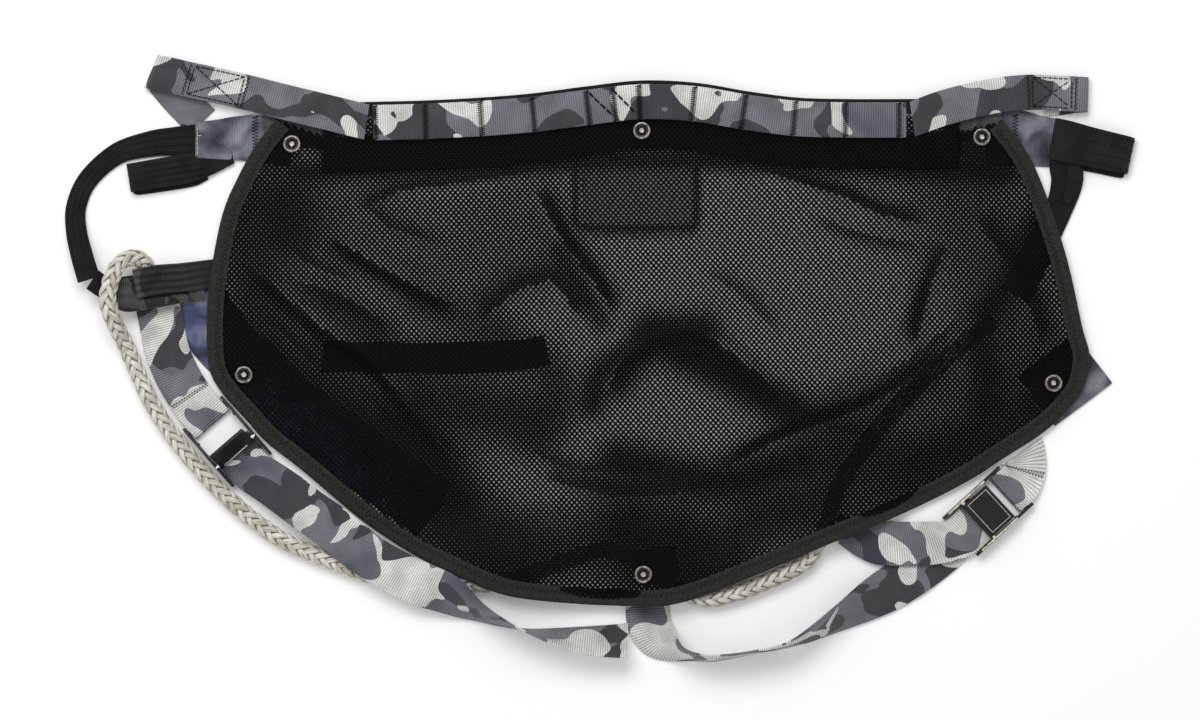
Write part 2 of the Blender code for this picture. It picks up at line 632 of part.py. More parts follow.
def build_fixed_webbing():
    left_tab = [(-291, 150, LOW), (-255, 150, LOW), (-223, 151, LOW)]
    ribbon("left_wing_tab", heading_rows(left_tab, TAB_WIDTH), WEBBING_THICK, SATIN_WEBBING)
    right_tab = [(339, 148, LOW), (305, 148, LOW), (277, 149, LOW)]
    ribbon("right_wing_tab", heading_rows(right_tab, TAB_WIDTH, -90), WEBBING_THICK, SATIN_WEBBING)
    left_band = [(-294, 41), (-275, 13), (-251, -12), (-230, -33), (-198, -57), (-158, -86), (-118, -114)]
    rows = heading_rows([(x, y, LOW) for x, y in left_band], BAND_WIDTH)
    ribbon("left_support_band", rows, WEBBING_THICK, SATIN_WEBBING)
    right_band = [(355, -4), (342, -14), (328, -24.5), (314, -35)]
    rows = heading_rows([(x, y, LOW) for x, y in right_band], BAND_WIDTH, -90)
    ribbon("right_support_band", rows, WEBBING_THICK, SATIN_WEBBING)
    right_bridge = [(336.5, 128), (336, 119), (330.5, 103), (317, 77), (299, 41)]
    rows = heading_rows([(x, y, LOW) for x, y in right_bridge], BRIDGE_ROOT_WIDTH, -90)
    ribbon("right_bridge_loop", rows, WEBBING_THICK, BLACK_WEBBING)
    root = [
        (-362, 44.5, EYE_STRAP), (-352, 41, EYE_STRAP), (-338, 42, EYE_STRAP), (-318, 46, EYE_STRAP),
        (-302, 48, 0.0100), (-287, 50, 0.0045),
    ]
    ribbon("left_bridge_root", heading_rows(root, BRIDGE_WIDTH), BRIDGE_THICK, BLACK_WEBBING)
    above = (BRIDGE_THICK + WEBBING_THICK) / 2 + ROPE_CLEAR
    flap = [
        (-333, 49, EYE_STRAP + above + 0.0006), (-318, 52, EYE_STRAP + above + 0.0006),
        (-302, 53.5, 0.0112 + above), (-287, 55.5, 0.0057 + above),
    ]
    ribbon("left_hip_flap", heading_rows(flap, FLAP_WIDTH), WEBBING_THICK, CAMO_WEBBING)
    crotch = [
        (34, -179, LOW, 2, 0, LEG_WIDTH), (35.5, -195, LOW, 8, 0, LEG_WIDTH),
        (42, -207, 0.0062, 32, 25, LEG_WIDTH), (51, -213.5, 0.0135, 58, 55, LEG_WIDTH),
        (57.5, -216, 0.0160, 74, 70, LEG_WIDTH),
    ]
    ribbon("crotch_tab", crotch, WEBBING_THICK, CAMO_WEBBING, step=TWIST_STEP)


# Loops that swing about the line of their sewn ends

def build_belt_loops():
    left = [
        (-167.5, 165.4, BELT_MIDDLE, 81.3, 0, BELT_WIDTH),
        (-194, 172, BELT_MIDDLE + 0.0003, 77, 0, BELT_WIDTH),
        (-227, 180, BELT_MIDDLE, 76, 0, BELT_WIDTH), (-263, 189, LOOP_TOP + 0.0003, 75, 0, BELT_WIDTH),
        (-295, 196, LOOP_TOP, 73, 0, BELT_WIDTH), (-314, 200.5, LOOP_TOP, 70, 0, BELT_WIDTH),
    ]
    left += half_turn(-319, 201, math.radians(162), LOOP_TOP, LOW, 70, 62, BELT_WIDTH)
    left += [(-315, 196, LOW, 56, 0, BELT_WIDTH), (-306, 186, LOW, 47, 0, BELT_WIDTH)]
    left += [(-299.5, 179, LOW, 43.5, 0, BELT_WIDTH)]
    ribbon("left_belt_loop", left, WEBBING_THICK, CAMO_WEBBING, HINGES["left_belt_loop"][0])
    right = [
        (224.5, 167.6, BELT_MIDDLE, 98.8, 0, BELT_WIDTH),
        (248, 176, BELT_MIDDLE + 0.0003, 106, 0, BELT_WIDTH),
        (281, 184, BELT_MIDDLE, 98, 0, BELT_WIDTH), (310, 187, LOOP_TOP, 92, 0, BELT_WIDTH),
        (335, 186, LOOP_TOP, 89, 0, BELT_WIDTH), (343, 185.6, LOOP_TOP, 88, 0, BELT_WIDTH),
    ]
    right += half_turn(347, 185.4, math.radians(-3), LOOP_TOP, LOW, 88, 89, BELT_WIDTH)
    right += [(343, 185, LOW, 89, 0, BELT_WIDTH), (331, 183.5, LOW, 90, 0, BELT_WIDTH)]
    right += [(320, 182.5, LOW, 90, 0, BELT_WIDTH)]
    ribbon("right_belt_loop", right, WEBBING_THICK, CAMO_WEBBING, HINGES["right_belt_loop"][0])


def build_lineman_loops():
    for side, (start, end) in LINEMAN_LOOPS.items():
        way = math.atan2(end[1] - start[1], end[0] - start[0])
        turn = math.degrees(way) + 90
        high = [(*start, LOOP_TOP, turn, 0, LINEMAN_WIDTH), (*end, LOOP_TOP, turn, 0, LINEMAN_WIDTH)]
        low = [(x, y, LOW, a, tilt, width) for x, y, _, a, tilt, width in reversed(high)]
        fold = half_turn(*end, way, LOOP_TOP, LOW, turn, turn, LINEMAN_WIDTH)
        middle = tuple((a + b) / 2 for a, b in zip(start, end))
        high.insert(1, (*middle, LOOP_TOP, turn, 0, LINEMAN_WIDTH))
        low.insert(1, (*middle, LOW, turn, 0, LINEMAN_WIDTH))
        name = side + "_lineman_loop"
        ribbon(name, high + fold + low, WEBBING_THICK, BLACK_WEBBING, HINGES[name][0])


def build_bridge_loop():
    floor = BRIDGE_THICK / 2
    route = [
        (-297, 156.5, floor), (-314, 155.5, floor), (-335, 150.5, floor), (-356, 139.5, floor),
        (-372, 123, floor), (-379, 103, floor + 0.0005), (-379, 85, 0.0045), (-375.5, 68, 0.0112),
        (-369, 53.5, EYE_STRAP),
    ]
    rows = heading_rows(route, BRIDGE_ROOT_WIDTH, -90)
    for number, width in enumerate(BRIDGE_END_WIDTHS):
        rows[number] = (*rows[number][:5], width)
    ribbon("left_bridge_loop", rows, BRIDGE_THICK, BLACK_WEBBING, HINGES["left_bridge_loop"][0])


# Leg loops: anchor strap, cam buckle and leg strap

def buckle_place(rail):
    # Middle of the buckle in plan and its heading, off the rail beside the seat
    (x, y), heading, side = rail
    reach = side * (LEG_WIDTH / 2 + BUCKLE_SIDE_GAP + BUCKLE_RAIL) / MM
    way = math.radians(heading)
    return (x - reach * math.sin(way), y + reach * math.cos(way)), heading


LEFT_BUCKLE = buckle_place(LEFT_BUCKLE_RAIL)
RIGHT_BUCKLE = buckle_place(RIGHT_BUCKLE_RAIL)


def buckle_point(buckle, length):
    (x, y), heading = buckle
    way = math.radians(heading)
    return x + length / MM * math.cos(way), y + length / MM * math.sin(way)


GRIP_TURN = GRIP_BAR_PLACE - BAR_LENGTH / 2 - BAR_FOLD_CLEAR
TOP_BAR_PLACE = -BUCKLE_LENGTH / 2 + BAR_LENGTH / 2 + BAR_INSET
TOP_BAR_FOLD = TOP_BAR_PLACE + BAR_LENGTH / 2 + BAR_FOLD_CLEAR


def anchor_rows(buckle, turn):
    # The strap over the top bar of the buckle and back under it
    heading = math.radians(buckle[1])
    rows = []
    for place in (TOP_BAR_PLACE - BAR_LEAD, TOP_BAR_PLACE):
        rows.append((*buckle_point(buckle, place), OVER_BAR, turn, 0, LEG_WIDTH))
    rows += half_turn(*buckle_point(buckle, TOP_BAR_FOLD), heading, OVER_BAR, LOW, turn, turn, LEG_WIDTH)
    for place in (TOP_BAR_PLACE, TOP_BAR_PLACE - ANCHOR_RETURN):
        rows.append((*buckle_point(buckle, place), LOW, turn, 0, LEG_WIDTH))
    return rows


def grip_rows(buckle, turn, lower_first):
    # The strap round the grip bar, on its way in and back out again
    heading = math.radians(buckle[1]) + math.pi
    places = (BUCKLE_LENGTH / 2, GRIP_BAR_PLACE)
    first, second = (LOW, OVER_BAR) if lower_first else (OVER_BAR, LOW)
    rows = [(*buckle_point(buckle, p), first, turn, 0, LEG_WIDTH) for p in places]
    rows += half_turn(*buckle_point(buckle, GRIP_TURN), heading, first, second, turn, turn, LEG_WIDTH)
    rows += [(*buckle_point(buckle, p), second, turn, 0, LEG_WIDTH) for p in reversed(places)]
    return rows


def build_left_leg_loop():
    origin = HINGES["left_leg_loop"][0]
    turn = LEFT_BUCKLE[1] + 90
    rows = [
        (-316, 24, ABOVE_BAND, 14, 0, LEG_WIDTH), (-311, 0, ABOVE_BAND, 16, 0, LEG_WIDTH),
        (-301, -22, ABOVE_BAND + 0.0008, 27, 0, LEG_WIDTH),
    ]
    rows += anchor_rows(LEFT_BUCKLE, turn)
    ribbon("left_anchor_strap", rows, WEBBING_THICK, CAMO_WEBBING, origin)
    rows = [(-222, -104, LOW, 46, 0, LEG_WIDTH), (-238, -93, LOW, 44, 0, LEG_WIDTH)]
    rows += grip_rows(LEFT_BUCKLE, turn, True)
    rows += [
        (-232, -97, 0.0078, 46, 0, LEG_WIDTH), (-212, -111.5, 0.0115, 50, 0, LEG_WIDTH),
        (-191, -126, OVER_ROPE, 53, 0, LEG_WIDTH), (-163, -148, OVER_ROPE, 56, 0, LEG_WIDTH),
        (-131, -165, OVER_ROPE, 62, 3, LEG_WIDTH), (-109, -173.5, OVER_ROPE, 64, 25, LEG_WIDTH),
        (-89, -185, 0.0155, 64, 60, LEG_WIDTH), (-69, -194, 0.0170, 68, 79, LEG_WIDTH),
        (-50, -200, 0.0171, 74, 92, LEG_WIDTH), (-17, -206, 0.0147, 83, 121, LEG_WIDTH),
        (13, -207, 0.0124, 88, 135, LEG_WIDTH),
    ]
    ribbon("left_leg_strap", rows, WEBBING_THICK, CAMO_WEBBING, origin, TWIST_STEP)


def build_right_leg_loop():
    origin = HINGES["right_leg_loop"][0]
    turn = RIGHT_BUCKLE[1] - 90
    rows = [(304.6, -71, LOW, -145, 0, 1.05 * LEG_WIDTH), (304.5, -85, 0.0024, -195, 0, LEG_WIDTH)]
    rows += anchor_rows(RIGHT_BUCKLE, turn)
    ribbon("right_anchor_strap", rows, WEBBING_THICK, CAMO_WEBBING, origin, TWIST_STEP)
    turn += 360
    rows = [
        (63, -217.4, 0.0166, 84, 75, LEG_WIDTH), (83, -219, 0.0170, 93, 80, LEG_WIDTH),
        (113, -214.2, 0.0172, 100, 84, LEG_WIDTH), (139, -208, 0.0170, 108, 78, LEG_WIDTH),
        (173, -190, 0.0140, 118, 52, LEG_WIDTH), (194, -178, 0.0088, 121, 27, LEG_WIDTH),
        (215, -166, LOW + 0.0004, 123, 0, LEG_WIDTH), (237, -151, LOW, 128, 0, LEG_WIDTH),
    ]
    rows += grip_rows(RIGHT_BUCKLE, turn, True)
    rows += [
        (245, -136, 0.0050, 115, 0, LEG_WIDTH), (230, -138, 0.0044, 100, 0, LEG_WIDTH),
        (214, -139, 0.0040, 93, 0, 0.97 * LEG_WIDTH), (200, -142, 0.0037, 90, 0, 0.78 * LEG_WIDTH),
        (186, -147, 0.0035, 90, 0, 0.55 * LEG_WIDTH), (177, -149.5, 0.0035, 90, 0, 0.44 * LEG_WIDTH),
    ]
    ribbon("right_leg_strap", rows, WEBBING_THICK, CAMO_WEBBING, origin, TWIST_STEP)


def build_buckle(side, buckle, lift):
    middle = at(*buckle[0])
    place = Matrix.Translation(middle) @ Matrix.Rotation(math.radians(buckle[1]), 4, "Z")
    half, window = BUCKLE_LENGTH / 2, LEG_WIDTH / 2 + BUCKLE_SIDE_GAP
    outer, rail_middle = window + BUCKLE_RAIL, window + BUCKLE_RAIL / 2
    bars = []
    for name, spot in (("_buckle_frame", GRIP_BAR_PLACE), ("_top_bar", TOP_BAR_PLACE)):
        low = (spot - BAR_LENGTH / 2, -rail_middle, BAR_BOTTOM)
        high = (spot + BAR_LENGTH / 2, rail_middle, BAR_TOP)
        bars.append(block(side + name, low, high, place))
    frame = bars[0]
    rails = []
    for name, low, high in (("_near_rail", -outer, -window), ("_far_rail", window, outer)):
        rails.append(block(side + name, (-half, low, BUCKLE_FOOT), (half, high, BUCKLE_TOP), place))
    pin_height = BAR_TOP + PIN_RISE
    axle = place @ Matrix.Translation((GRIP_BAR_PLACE, 0.0, pin_height))
    across = Matrix.Rotation(math.pi / 2, 4, "X")

    def rod(name, radius, length, finish):
        shape = bmesh.new()
        bmesh.ops.create_cone(shape, cap_ends=True, segments=ROD_SIDES, radius1=radius, radius2=radius,
                              depth=length, matrix=axle @ across)
        return add_object(name, shape, finish, axle.translation)

    combine(frame, rails + bars[1:], "UNION")
    combine(frame, [rod(side + "_pin_hole", PIN_RADIUS + PIN_CLEAR, 3 * outer, PIN_STEEL)], "DIFFERENCE")
    rod(side + "_pivot_pin", PIN_RADIUS, 2 * (outer - PIN_INSET), PIN_STEEL)
    wide = window - LEVER_SIDE_GAP
    outline = [(-LEVER_REACH, CAM_RADIUS), (-LEVER_REACH - LEVER_NOSE, CAM_RADIUS - LEVER_THICK / 2)]
    outline += [(-LEVER_REACH, CAM_RADIUS - LEVER_THICK), (-CAM_RADIUS, CAM_RADIUS - LEVER_THICK)]
    for i in range(10):
        angle = math.radians(200 + i * 250 / 9)
        outline.append((CAM_RADIUS * math.cos(angle), CAM_RADIUS * math.sin(angle)))
    tilted = axle @ Matrix.Rotation(math.radians(lift), 4, "Y")
    sections = [[tilted @ Vector((u, v, w)) for u, w in outline] for v in (-wide, wide)]
    lever = loft(side + "_cam_lever", sections, BUCKLE_BLACK, axle.translation)
    bore = rod(side + "_lever_bore", PIN_RADIUS + PIN_CLEAR, 3 * outer, PIN_STEEL)
    combine(lever, [bore], "DIFFERENCE")
    return axle


# Bridge rope

def build_rope():
    curve = bpy.data.curves.new("bridge_rope", "CURVE")
    curve.dimensions = "3D"
    curve.bevel_depth = ROPE_DIAMETER / 2
    curve.bevel_resolution = 3
    curve.use_fill_caps = True
    line = curve.splines.new("POLY")
    line.points.add(len(ROPE_LINE) - 1)
    for point, place in zip(line.points, ROPE_LINE):
        point.co = (*place, 1.0)
    curve.materials.append(ROPE_FIBRE)
    bpy.context.collection.objects.link(bpy.data.objects.new("bridge_rope", curve))


# Hinge lines: a point and a far point, each on the inner edge of a sewn end

def lineman_line(side, hand):
    (x, y), (far_x, far_y) = LINEMAN_LOOPS[side]
    height = LOOP_TOP / 2 + LOW
    return at(x, y, height), at(x - hand * (far_y - y), y + hand * (far_x - x), height)


HINGES = {
    "left_belt_loop": (at(-169.4, 152.8, BELT_MIDDLE - LOW), at(-308.7, 170.3, 0.0)),
    "right_belt_loop": (at(226.4, 155, BELT_MIDDLE - LOW), at(320, 169.8, 0.0)),
    "left_lineman_loop": lineman_line("left", -1),
    "right_lineman_loop": lineman_line("right", 1),
    "left_bridge_loop": (at(-297, 146, 0.0), at(-359.4, 53.6, EYE_STRAP - BRIDGE_THICK / 2)),
    "left_leg_loop": (at(-300.5, 27.9, ABOVE_BAND - LOW), at(13, -195.7, 0.0004)),
    "right_leg_loop": (at(317, -61, HEM_TOP), at(63, -217.4, LEG_WIDTH / 2)),
}

build_seat_panel()
build_binding()
build_hem()
build_belt()
build_pocket()
build_snaps()
build_fixed_webbing()
build_belt_loops()
build_lineman_loops()
build_bridge_loop()
build_left_leg_loop()
build_right_leg_loop()
AXLES = {
    "left_cam_lever": build_buckle("left", LEFT_BUCKLE, LEFT_LEVER_LIFT),
    "right_cam_lever": build_buckle("right", RIGHT_BUCKLE, RIGHT_LEVER_LIFT),
}
build_rope()

# Hinge lines and the rope's length, for the record
for name, (near, far) in HINGES.items():
    print(name, [round(v, 5) for v in near], [round(v, 5) for v in (far - near).normalized()])
for name, axle in AXLES.items():
    print(name, [round(v, 5) for v in axle.translation], [round(v, 5) for v in axle.col[1].xyz])
print("rope length", round(float(np.linalg.norm(np.diff(ROPE_LINE, axis=0), axis=1).sum()), 4))
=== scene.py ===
import math

import bpy
import numpy as np
from mathutils import Matrix, Vector


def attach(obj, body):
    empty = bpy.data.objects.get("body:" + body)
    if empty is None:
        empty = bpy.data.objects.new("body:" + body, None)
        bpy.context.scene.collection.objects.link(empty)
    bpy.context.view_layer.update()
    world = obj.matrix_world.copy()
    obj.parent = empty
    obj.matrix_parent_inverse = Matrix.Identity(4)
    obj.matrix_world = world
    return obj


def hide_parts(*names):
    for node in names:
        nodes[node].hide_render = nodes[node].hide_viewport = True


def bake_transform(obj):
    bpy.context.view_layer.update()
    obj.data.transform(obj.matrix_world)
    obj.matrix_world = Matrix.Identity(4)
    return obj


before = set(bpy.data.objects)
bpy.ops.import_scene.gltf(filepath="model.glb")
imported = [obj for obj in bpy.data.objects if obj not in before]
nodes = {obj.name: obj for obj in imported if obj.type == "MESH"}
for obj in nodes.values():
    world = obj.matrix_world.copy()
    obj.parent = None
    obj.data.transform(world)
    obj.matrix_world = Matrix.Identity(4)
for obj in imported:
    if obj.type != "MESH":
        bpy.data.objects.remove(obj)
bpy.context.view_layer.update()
print("frame loaded,", len(nodes), "nodes")

# the saddle's middle on the floor plan, mm
planMiddle = (-1.65, -4.5)
mm = 0.001

# thicknesses and gaps of the layers, m
layers = {
    "webbing": 0.0018, "bridge": 0.0026, "mesh": 0.0014, "tape": 0.0008, "gap": 0.0004, "loopGap": 0.0050,
    "cap": 0.0011, "ropeClear": 0.0009, "rope": 0.013, "bar": 0.0018,
}
# heights above the floor, m
low = layers["webbing"] / 2
aboveBand = 3 * low + layers["gap"]
seatBottom = layers["webbing"] + layers["cap"] + 2 * layers["gap"]
seatTop = seatBottom + layers["mesh"]
hemBottom = seatTop + layers["gap"]
hemTop = hemBottom + layers["mesh"]
beltMiddle = hemTop + 1.5 * layers["gap"] + low
loopTop = layers["webbing"] + layers["loopGap"] + low
barBottom = layers["webbing"] + layers["gap"]
barTop = barBottom + layers["bar"]
overBar = barTop + layers["gap"] + low
overRope = layers["rope"] + layers["ropeClear"] + low
eyeStrap = layers["rope"] + layers["ropeClear"] + layers["bridge"] / 2
eyeTop = eyeStrap + layers["bridge"] / 2 + layers["ropeClear"] + layers["rope"] / 2
ropeLow = layers["rope"] / 2
ropeRise = layers["rope"] + layers["ropeClear"] + layers["gap"] + layers["tape"] - seatBottom

widths = {"belt": 0.0254, "leg": 0.032, "tab": 0.036, "bridge": 0.016, "flap": 0.020, "band": 0.045}


def at(x, y, z=0.0):
    return np.array(((x - planMiddle[0]) * mm, (y - planMiddle[1]) * mm, z))


def smooth(rows, step):
    # a smooth curve through every row
    rows = np.array(rows, dtype=float)
    ends = np.vstack([2 * rows[0] - rows[1], rows, 2 * rows[-1] - rows[-2]])
    fine = []
    for before, here, there, after in zip(ends[:-3], ends[1:-2], ends[2:-1], ends[3:]):
        count = max(1, round(np.linalg.norm(there[:3] - here[:3]) / step))
        share = np.linspace(0.0, 1.0, count, endpoint=False)[:, None]
        bend = 2 * before - 5 * here + 4 * there - after
        turn = 3 * (here - there) + after - before
        fine.append(here + 0.5 * share * (there - before + share * (bend + share * turn)))
    return np.vstack(fine + [rows[-1:]])


def smoothPlan(points, step):
    return smooth([at(x, y) for x, y in points], step)[:, :2]


def lengthAlong(points):
    return np.concatenate([[0.0], np.cumsum(np.linalg.norm(np.diff(points, axis=0), axis=1))])


def even(points, step):
    # the same line with points an even step apart
    run = lengthAlong(points[:, :3])
    want = np.linspace(0.0, run[-1], max(2, round(run[-1] / step)) + 1)
    return np.stack([np.interp(want, run, points[:, k]) for k in range(points.shape[1])], axis=1)


def planNormals(points):
    along = np.gradient(points, axis=0)
    along /= np.linalg.norm(along, axis=1)[:, None]
    return np.stack([-along[:, 1], along[:, 0]], axis=1)


def ease(value, lowEnd, highEnd):
    share = np.clip((value - lowEnd) / (highEnd - lowEnd), 0.0, 1.0)
    return share * share * (3 - 2 * share)


def endFade(share, rising, falling):
    # from nothing at both ends to one between them
    return ease(share, 0.0, rising) * (1.0 - ease(share, falling, 1.0))


def bell(gap, width):
    return np.exp(-(gap / width) ** 2)


def nearLine(x, y, line):
    # distance to a polyline, which side of it, and how far along its length
    points = np.stack([np.ravel(x), np.ravel(y)], axis=1)
    best = np.full(len(points), 1e9)
    side = np.zeros(len(points))
    share = np.zeros(len(points))
    run = lengthAlong(line)
    for k in range(len(line) - 1):
        way = line[k + 1] - line[k]
        size = max(np.linalg.norm(way), 1e-9)
        t = np.clip((points - line[k]) @ way / size ** 2, 0.0, 1.0)
        off = points - line[k] - t[:, None] * way
        gap = np.linalg.norm(off, axis=1)
        closer = gap < best
        best[closer] = gap[closer]
        side[closer] = (way[0] * off[:, 1] - way[1] * off[:, 0])[closer] / size
        share[closer] = ((run[k] + t * size) / run[-1])[closer]
    shape = np.shape(x)
    return best.reshape(shape), side.reshape(shape), share.reshape(shape)


def inside(x, y, loop):
    ahead = np.roll(loop, -1, axis=0)
    hits = np.zeros(np.shape(x), dtype=int)
    for (ax, ay), (bx, by) in zip(loop, ahead):
        if abs(by - ay) < 1e-12:
            continue
        crosses = (ay > y) != (by > y)
        hits += crosses & (x < (bx - ax) * (y - ay) / (by - ay) + ax)
    return hits % 2 == 1


def newPiece(name, data):
    piece = bpy.data.objects.new(name, data)
    bpy.context.scene.collection.objects.link(piece)
    return piece


# camera, straight above as in the picture, whose pixels become mm on the floor
view = {"lens": 150.0, "sensor": 36.0, "across": 0.864, "aim": (600, 360), "origin": (600, 352.5),
        "pixel": 0.72}
aimX = (view["aim"][0] - view["origin"][0]) * view["pixel"]
aimY = (view["origin"][1] - view["aim"][1]) * view["pixel"]
cameraData = bpy.data.cameras.new("pictureCamera")
cameraData.lens = view["lens"]
cameraData.sensor_width = view["sensor"]
camera = newPiece("pictureCamera", cameraData)
camera.location = tuple(at(aimX, aimY, view["across"] * view["lens"] / view["sensor"]))
bpy.context.scene.camera = camera

# floor and soft light
studio = {
    "floorSize": 8.0, "floorDrop": 0.0004, "floorTone": 0.94, "floorRough": 0.9, "grainScale": 3.0,
    "grainDepth": 0.01, "cameraLift": 0.09, "worldLevel": 0.62, "panelPower": 30.0, "panelSize": (1.6, 1.0),
    "panelPlace": (-0.5, 1.1, 2.0), "white": (1.0, 1.0, 1.0, 1.0),
}


def feed(tree, node, sources):
    for socket, source in sources.items():
        tree.links.new(source, node.inputs[socket])


def addNode(tree, kind, sources=None, **values):
    made = tree.nodes.new(kind)
    for key, value in values.items():
        if key in made.inputs:
            made.inputs[key].default_value = value
        else:
            setattr(made, key, value)
    feed(tree, made, sources or {})
    return made


def between(tree, source, least, most):
    # a source from 0 to 1, carried to another range
    made = addNode(tree, "ShaderNodeMapRange", {"Value": source}, **{"To Min": least, "To Max": most})
    return made.outputs["Result"]


def newMaterial(name, colour, roughness, metallic=0.0, sheen=0.0, shine=0.5):
    made = bpy.data.materials.new(name)
    made.use_nodes = True
    shader = made.node_tree.nodes["Principled BSDF"]
    shader.inputs["Base Color"].default_value = (*colour, 1.0)
    shader.inputs["Roughness"].default_value = roughness
    shader.inputs["Metallic"].default_value = metallic
    shader.inputs["Sheen Weight"].default_value = sheen
    shader.inputs["Specular IOR Level"].default_value = shine
    return made, made.node_tree, shader


def plainRays(tree):
    # rays that see the plain background: camera, glossy and transmission
    ray = addNode(tree, "ShaderNodeLightPath")
    total = ray.outputs["Is Camera Ray"]
    for name in ("Is Glossy Ray", "Is Transmission Ray"):
        both = addNode(tree, "ShaderNodeMath", {0: total, 1: ray.outputs[name]}, operation="ADD",
                       use_clamp=True)
        total = both.outputs["Value"]
    return total


def floorFinish():
    tone = studio["floorTone"]
    made, tree, shader = newMaterial("studioFloor", (tone,) * 3, studio["floorRough"], shine=0.0)
    grain = addNode(tree, "ShaderNodeTexNoise", Scale=studio["grainScale"]).outputs["Fac"]
    lift = addNode(tree, "ShaderNodeMath", {0: plainRays(tree)}, operation="MULTIPLY")
    lift.inputs[1].default_value = studio["cameraLift"]
    shader.inputs["Emission Color"].default_value = studio["white"]
    feed(tree, shader, {"Base Color": between(tree, grain, tone - studio["grainDepth"], tone),
                        "Emission Strength": lift.outputs["Value"]})
    return made


bpy.ops.object.select_all(action="DESELECT")
bpy.ops.mesh.primitive_plane_add(size=studio["floorSize"], location=(0.0, 0.0, -studio["floorDrop"]))
floor = bpy.context.object
floor.name = "studioFloor"
bpy.ops.object.transform_apply(location=True, rotation=True, scale=True)
floor.data.materials.append(floorFinish())

world = bpy.data.worlds.new("studioWorld")
world.use_nodes = True
bpy.context.scene.world = world
sky = world.node_tree.nodes["Background"]
sky.inputs["Color"].default_value = studio["white"]
level = between(world.node_tree, plainRays(world.node_tree), studio["worldLevel"], 1.0)
feed(world.node_tree, sky, {"Strength": level})

lampData = bpy.data.lights.new("softPanel", "AREA")
lampData.shape = "RECTANGLE"
lampData.size, lampData.size_y = studio["panelSize"]
lampData.energy = studio["panelPower"]
lamp = newPiece("softPanel", lampData)
lamp.location = studio["panelPlace"]
lamp.rotation_mode = "QUATERNION"
lamp.rotation_quaternion = (-lamp.location).to_track_quat("-Z", "Y")
bpy.context.scene.view_settings.view_transform = "Standard"
print("camera and studio set")


# finishes

def onUV(tree, layer="UVMap"):
    return addNode(tree, "ShaderNodeUVMap", uv_map=layer).outputs["UV"]


def moved(tree, place, **values):
    # the place shifted or stretched
    return addNode(tree, "ShaderNodeMapping", {"Vector": place}, **values).outputs["Vector"]


def noise(tree, place, scale, detail, **values):
    made = addNode(tree, "ShaderNodeTexNoise", {"Vector": place}, Scale=scale, Detail=detail, **values)
    return made.outputs["Fac"]


def objectNoise(tree, scale, detail):
    place = addNode(tree, "ShaderNodeTexCoord").outputs["Object"]
    return noise(tree, place, scale, detail, Roughness=0.6)


def toneRamp(tree, source, stops, hard=False):
    # tones along the source, where a bare number is a grey
    ramp = addNode(tree, "ShaderNodeValToRGB", {"Fac": source})
    ramp.color_ramp.interpolation = "CONSTANT" if hard else "LINEAR"
    while len(ramp.color_ramp.elements) < len(stops):
        ramp.color_ramp.elements.new(0.5)
    for element, (place, tone) in zip(ramp.color_ramp.elements, stops):
        element.position = place
        element.color = (*(tone if np.ndim(tone) else (tone,) * 3), 1.0)
    return ramp.outputs["Color"]


def mixColours(tree, kind, first, second, share):
    mix = addNode(tree, "ShaderNodeMix", data_type="RGBA", blend_type=kind)
    for value, socket in ((share, mix.inputs[0]), (first, mix.inputs[6]), (second, mix.inputs[7])):
        if isinstance(value, bpy.types.NodeSocket):
            tree.links.new(value, socket)
        else:
            socket.default_value = value
    return mix.outputs[2]


def multiply(tree, first, second):
    return mixColours(tree, "MULTIPLY", first, second, 1.0)


def ribWave(tree, uv, pitch, direction="X"):
    # bands across the webbing, one a rib: the wave node turns 20 radians a unit at scale 1
    wave = addNode(tree, "ShaderNodeTexWave", {"Vector": uv}, bands_direction=direction, Distortion=0.0,
                   Scale=2 * math.pi / (20 * pitch))
    return wave.outputs["Fac"]


def bumpFrom(tree, height, distance):
    bump = addNode(tree, "ShaderNodeBump", {"Height": height}, Strength=1.0, Distance=distance)
    return bump.outputs["Normal"]


weave = {"ribPitch": 0.00165, "ribDepth": 0.00024, "yarnPitch": 0.0011, "yarnShare": 0.25, "relief": 0.00045,
         "fuzzScale": 900.0, "pathStep": 0.0012, "patternSlip": 0.31}
camo = {
    "mid": (0.205, 0.208, 0.238), "dark": (0.055, 0.056, 0.064), "pale": (0.84, 0.835, 0.80, 1.0),
    "ink": (0.040, 0.044, 0.085, 1.0), "darkBelow": 0.455, "paleAbove": 0.565, "palerAbove": 0.535,
    "shaded": 0.09,
}
# clouds of the camouflage: scale, shift, detail and bend
camoClouds = {
    "blobs": (25.0, (0.0, 0.0, 0.0), 1.2, 0.9), "patches": (26.0, (3.7, 1.9, 0.0), 1.2, 0.9),
    "uneven": (55.0, (7.1, 0.4, 0.0), 2.0, 0.3), "cast": (17.0, (1.3, 5.2, 0.0), 1.0, 0.6),
}


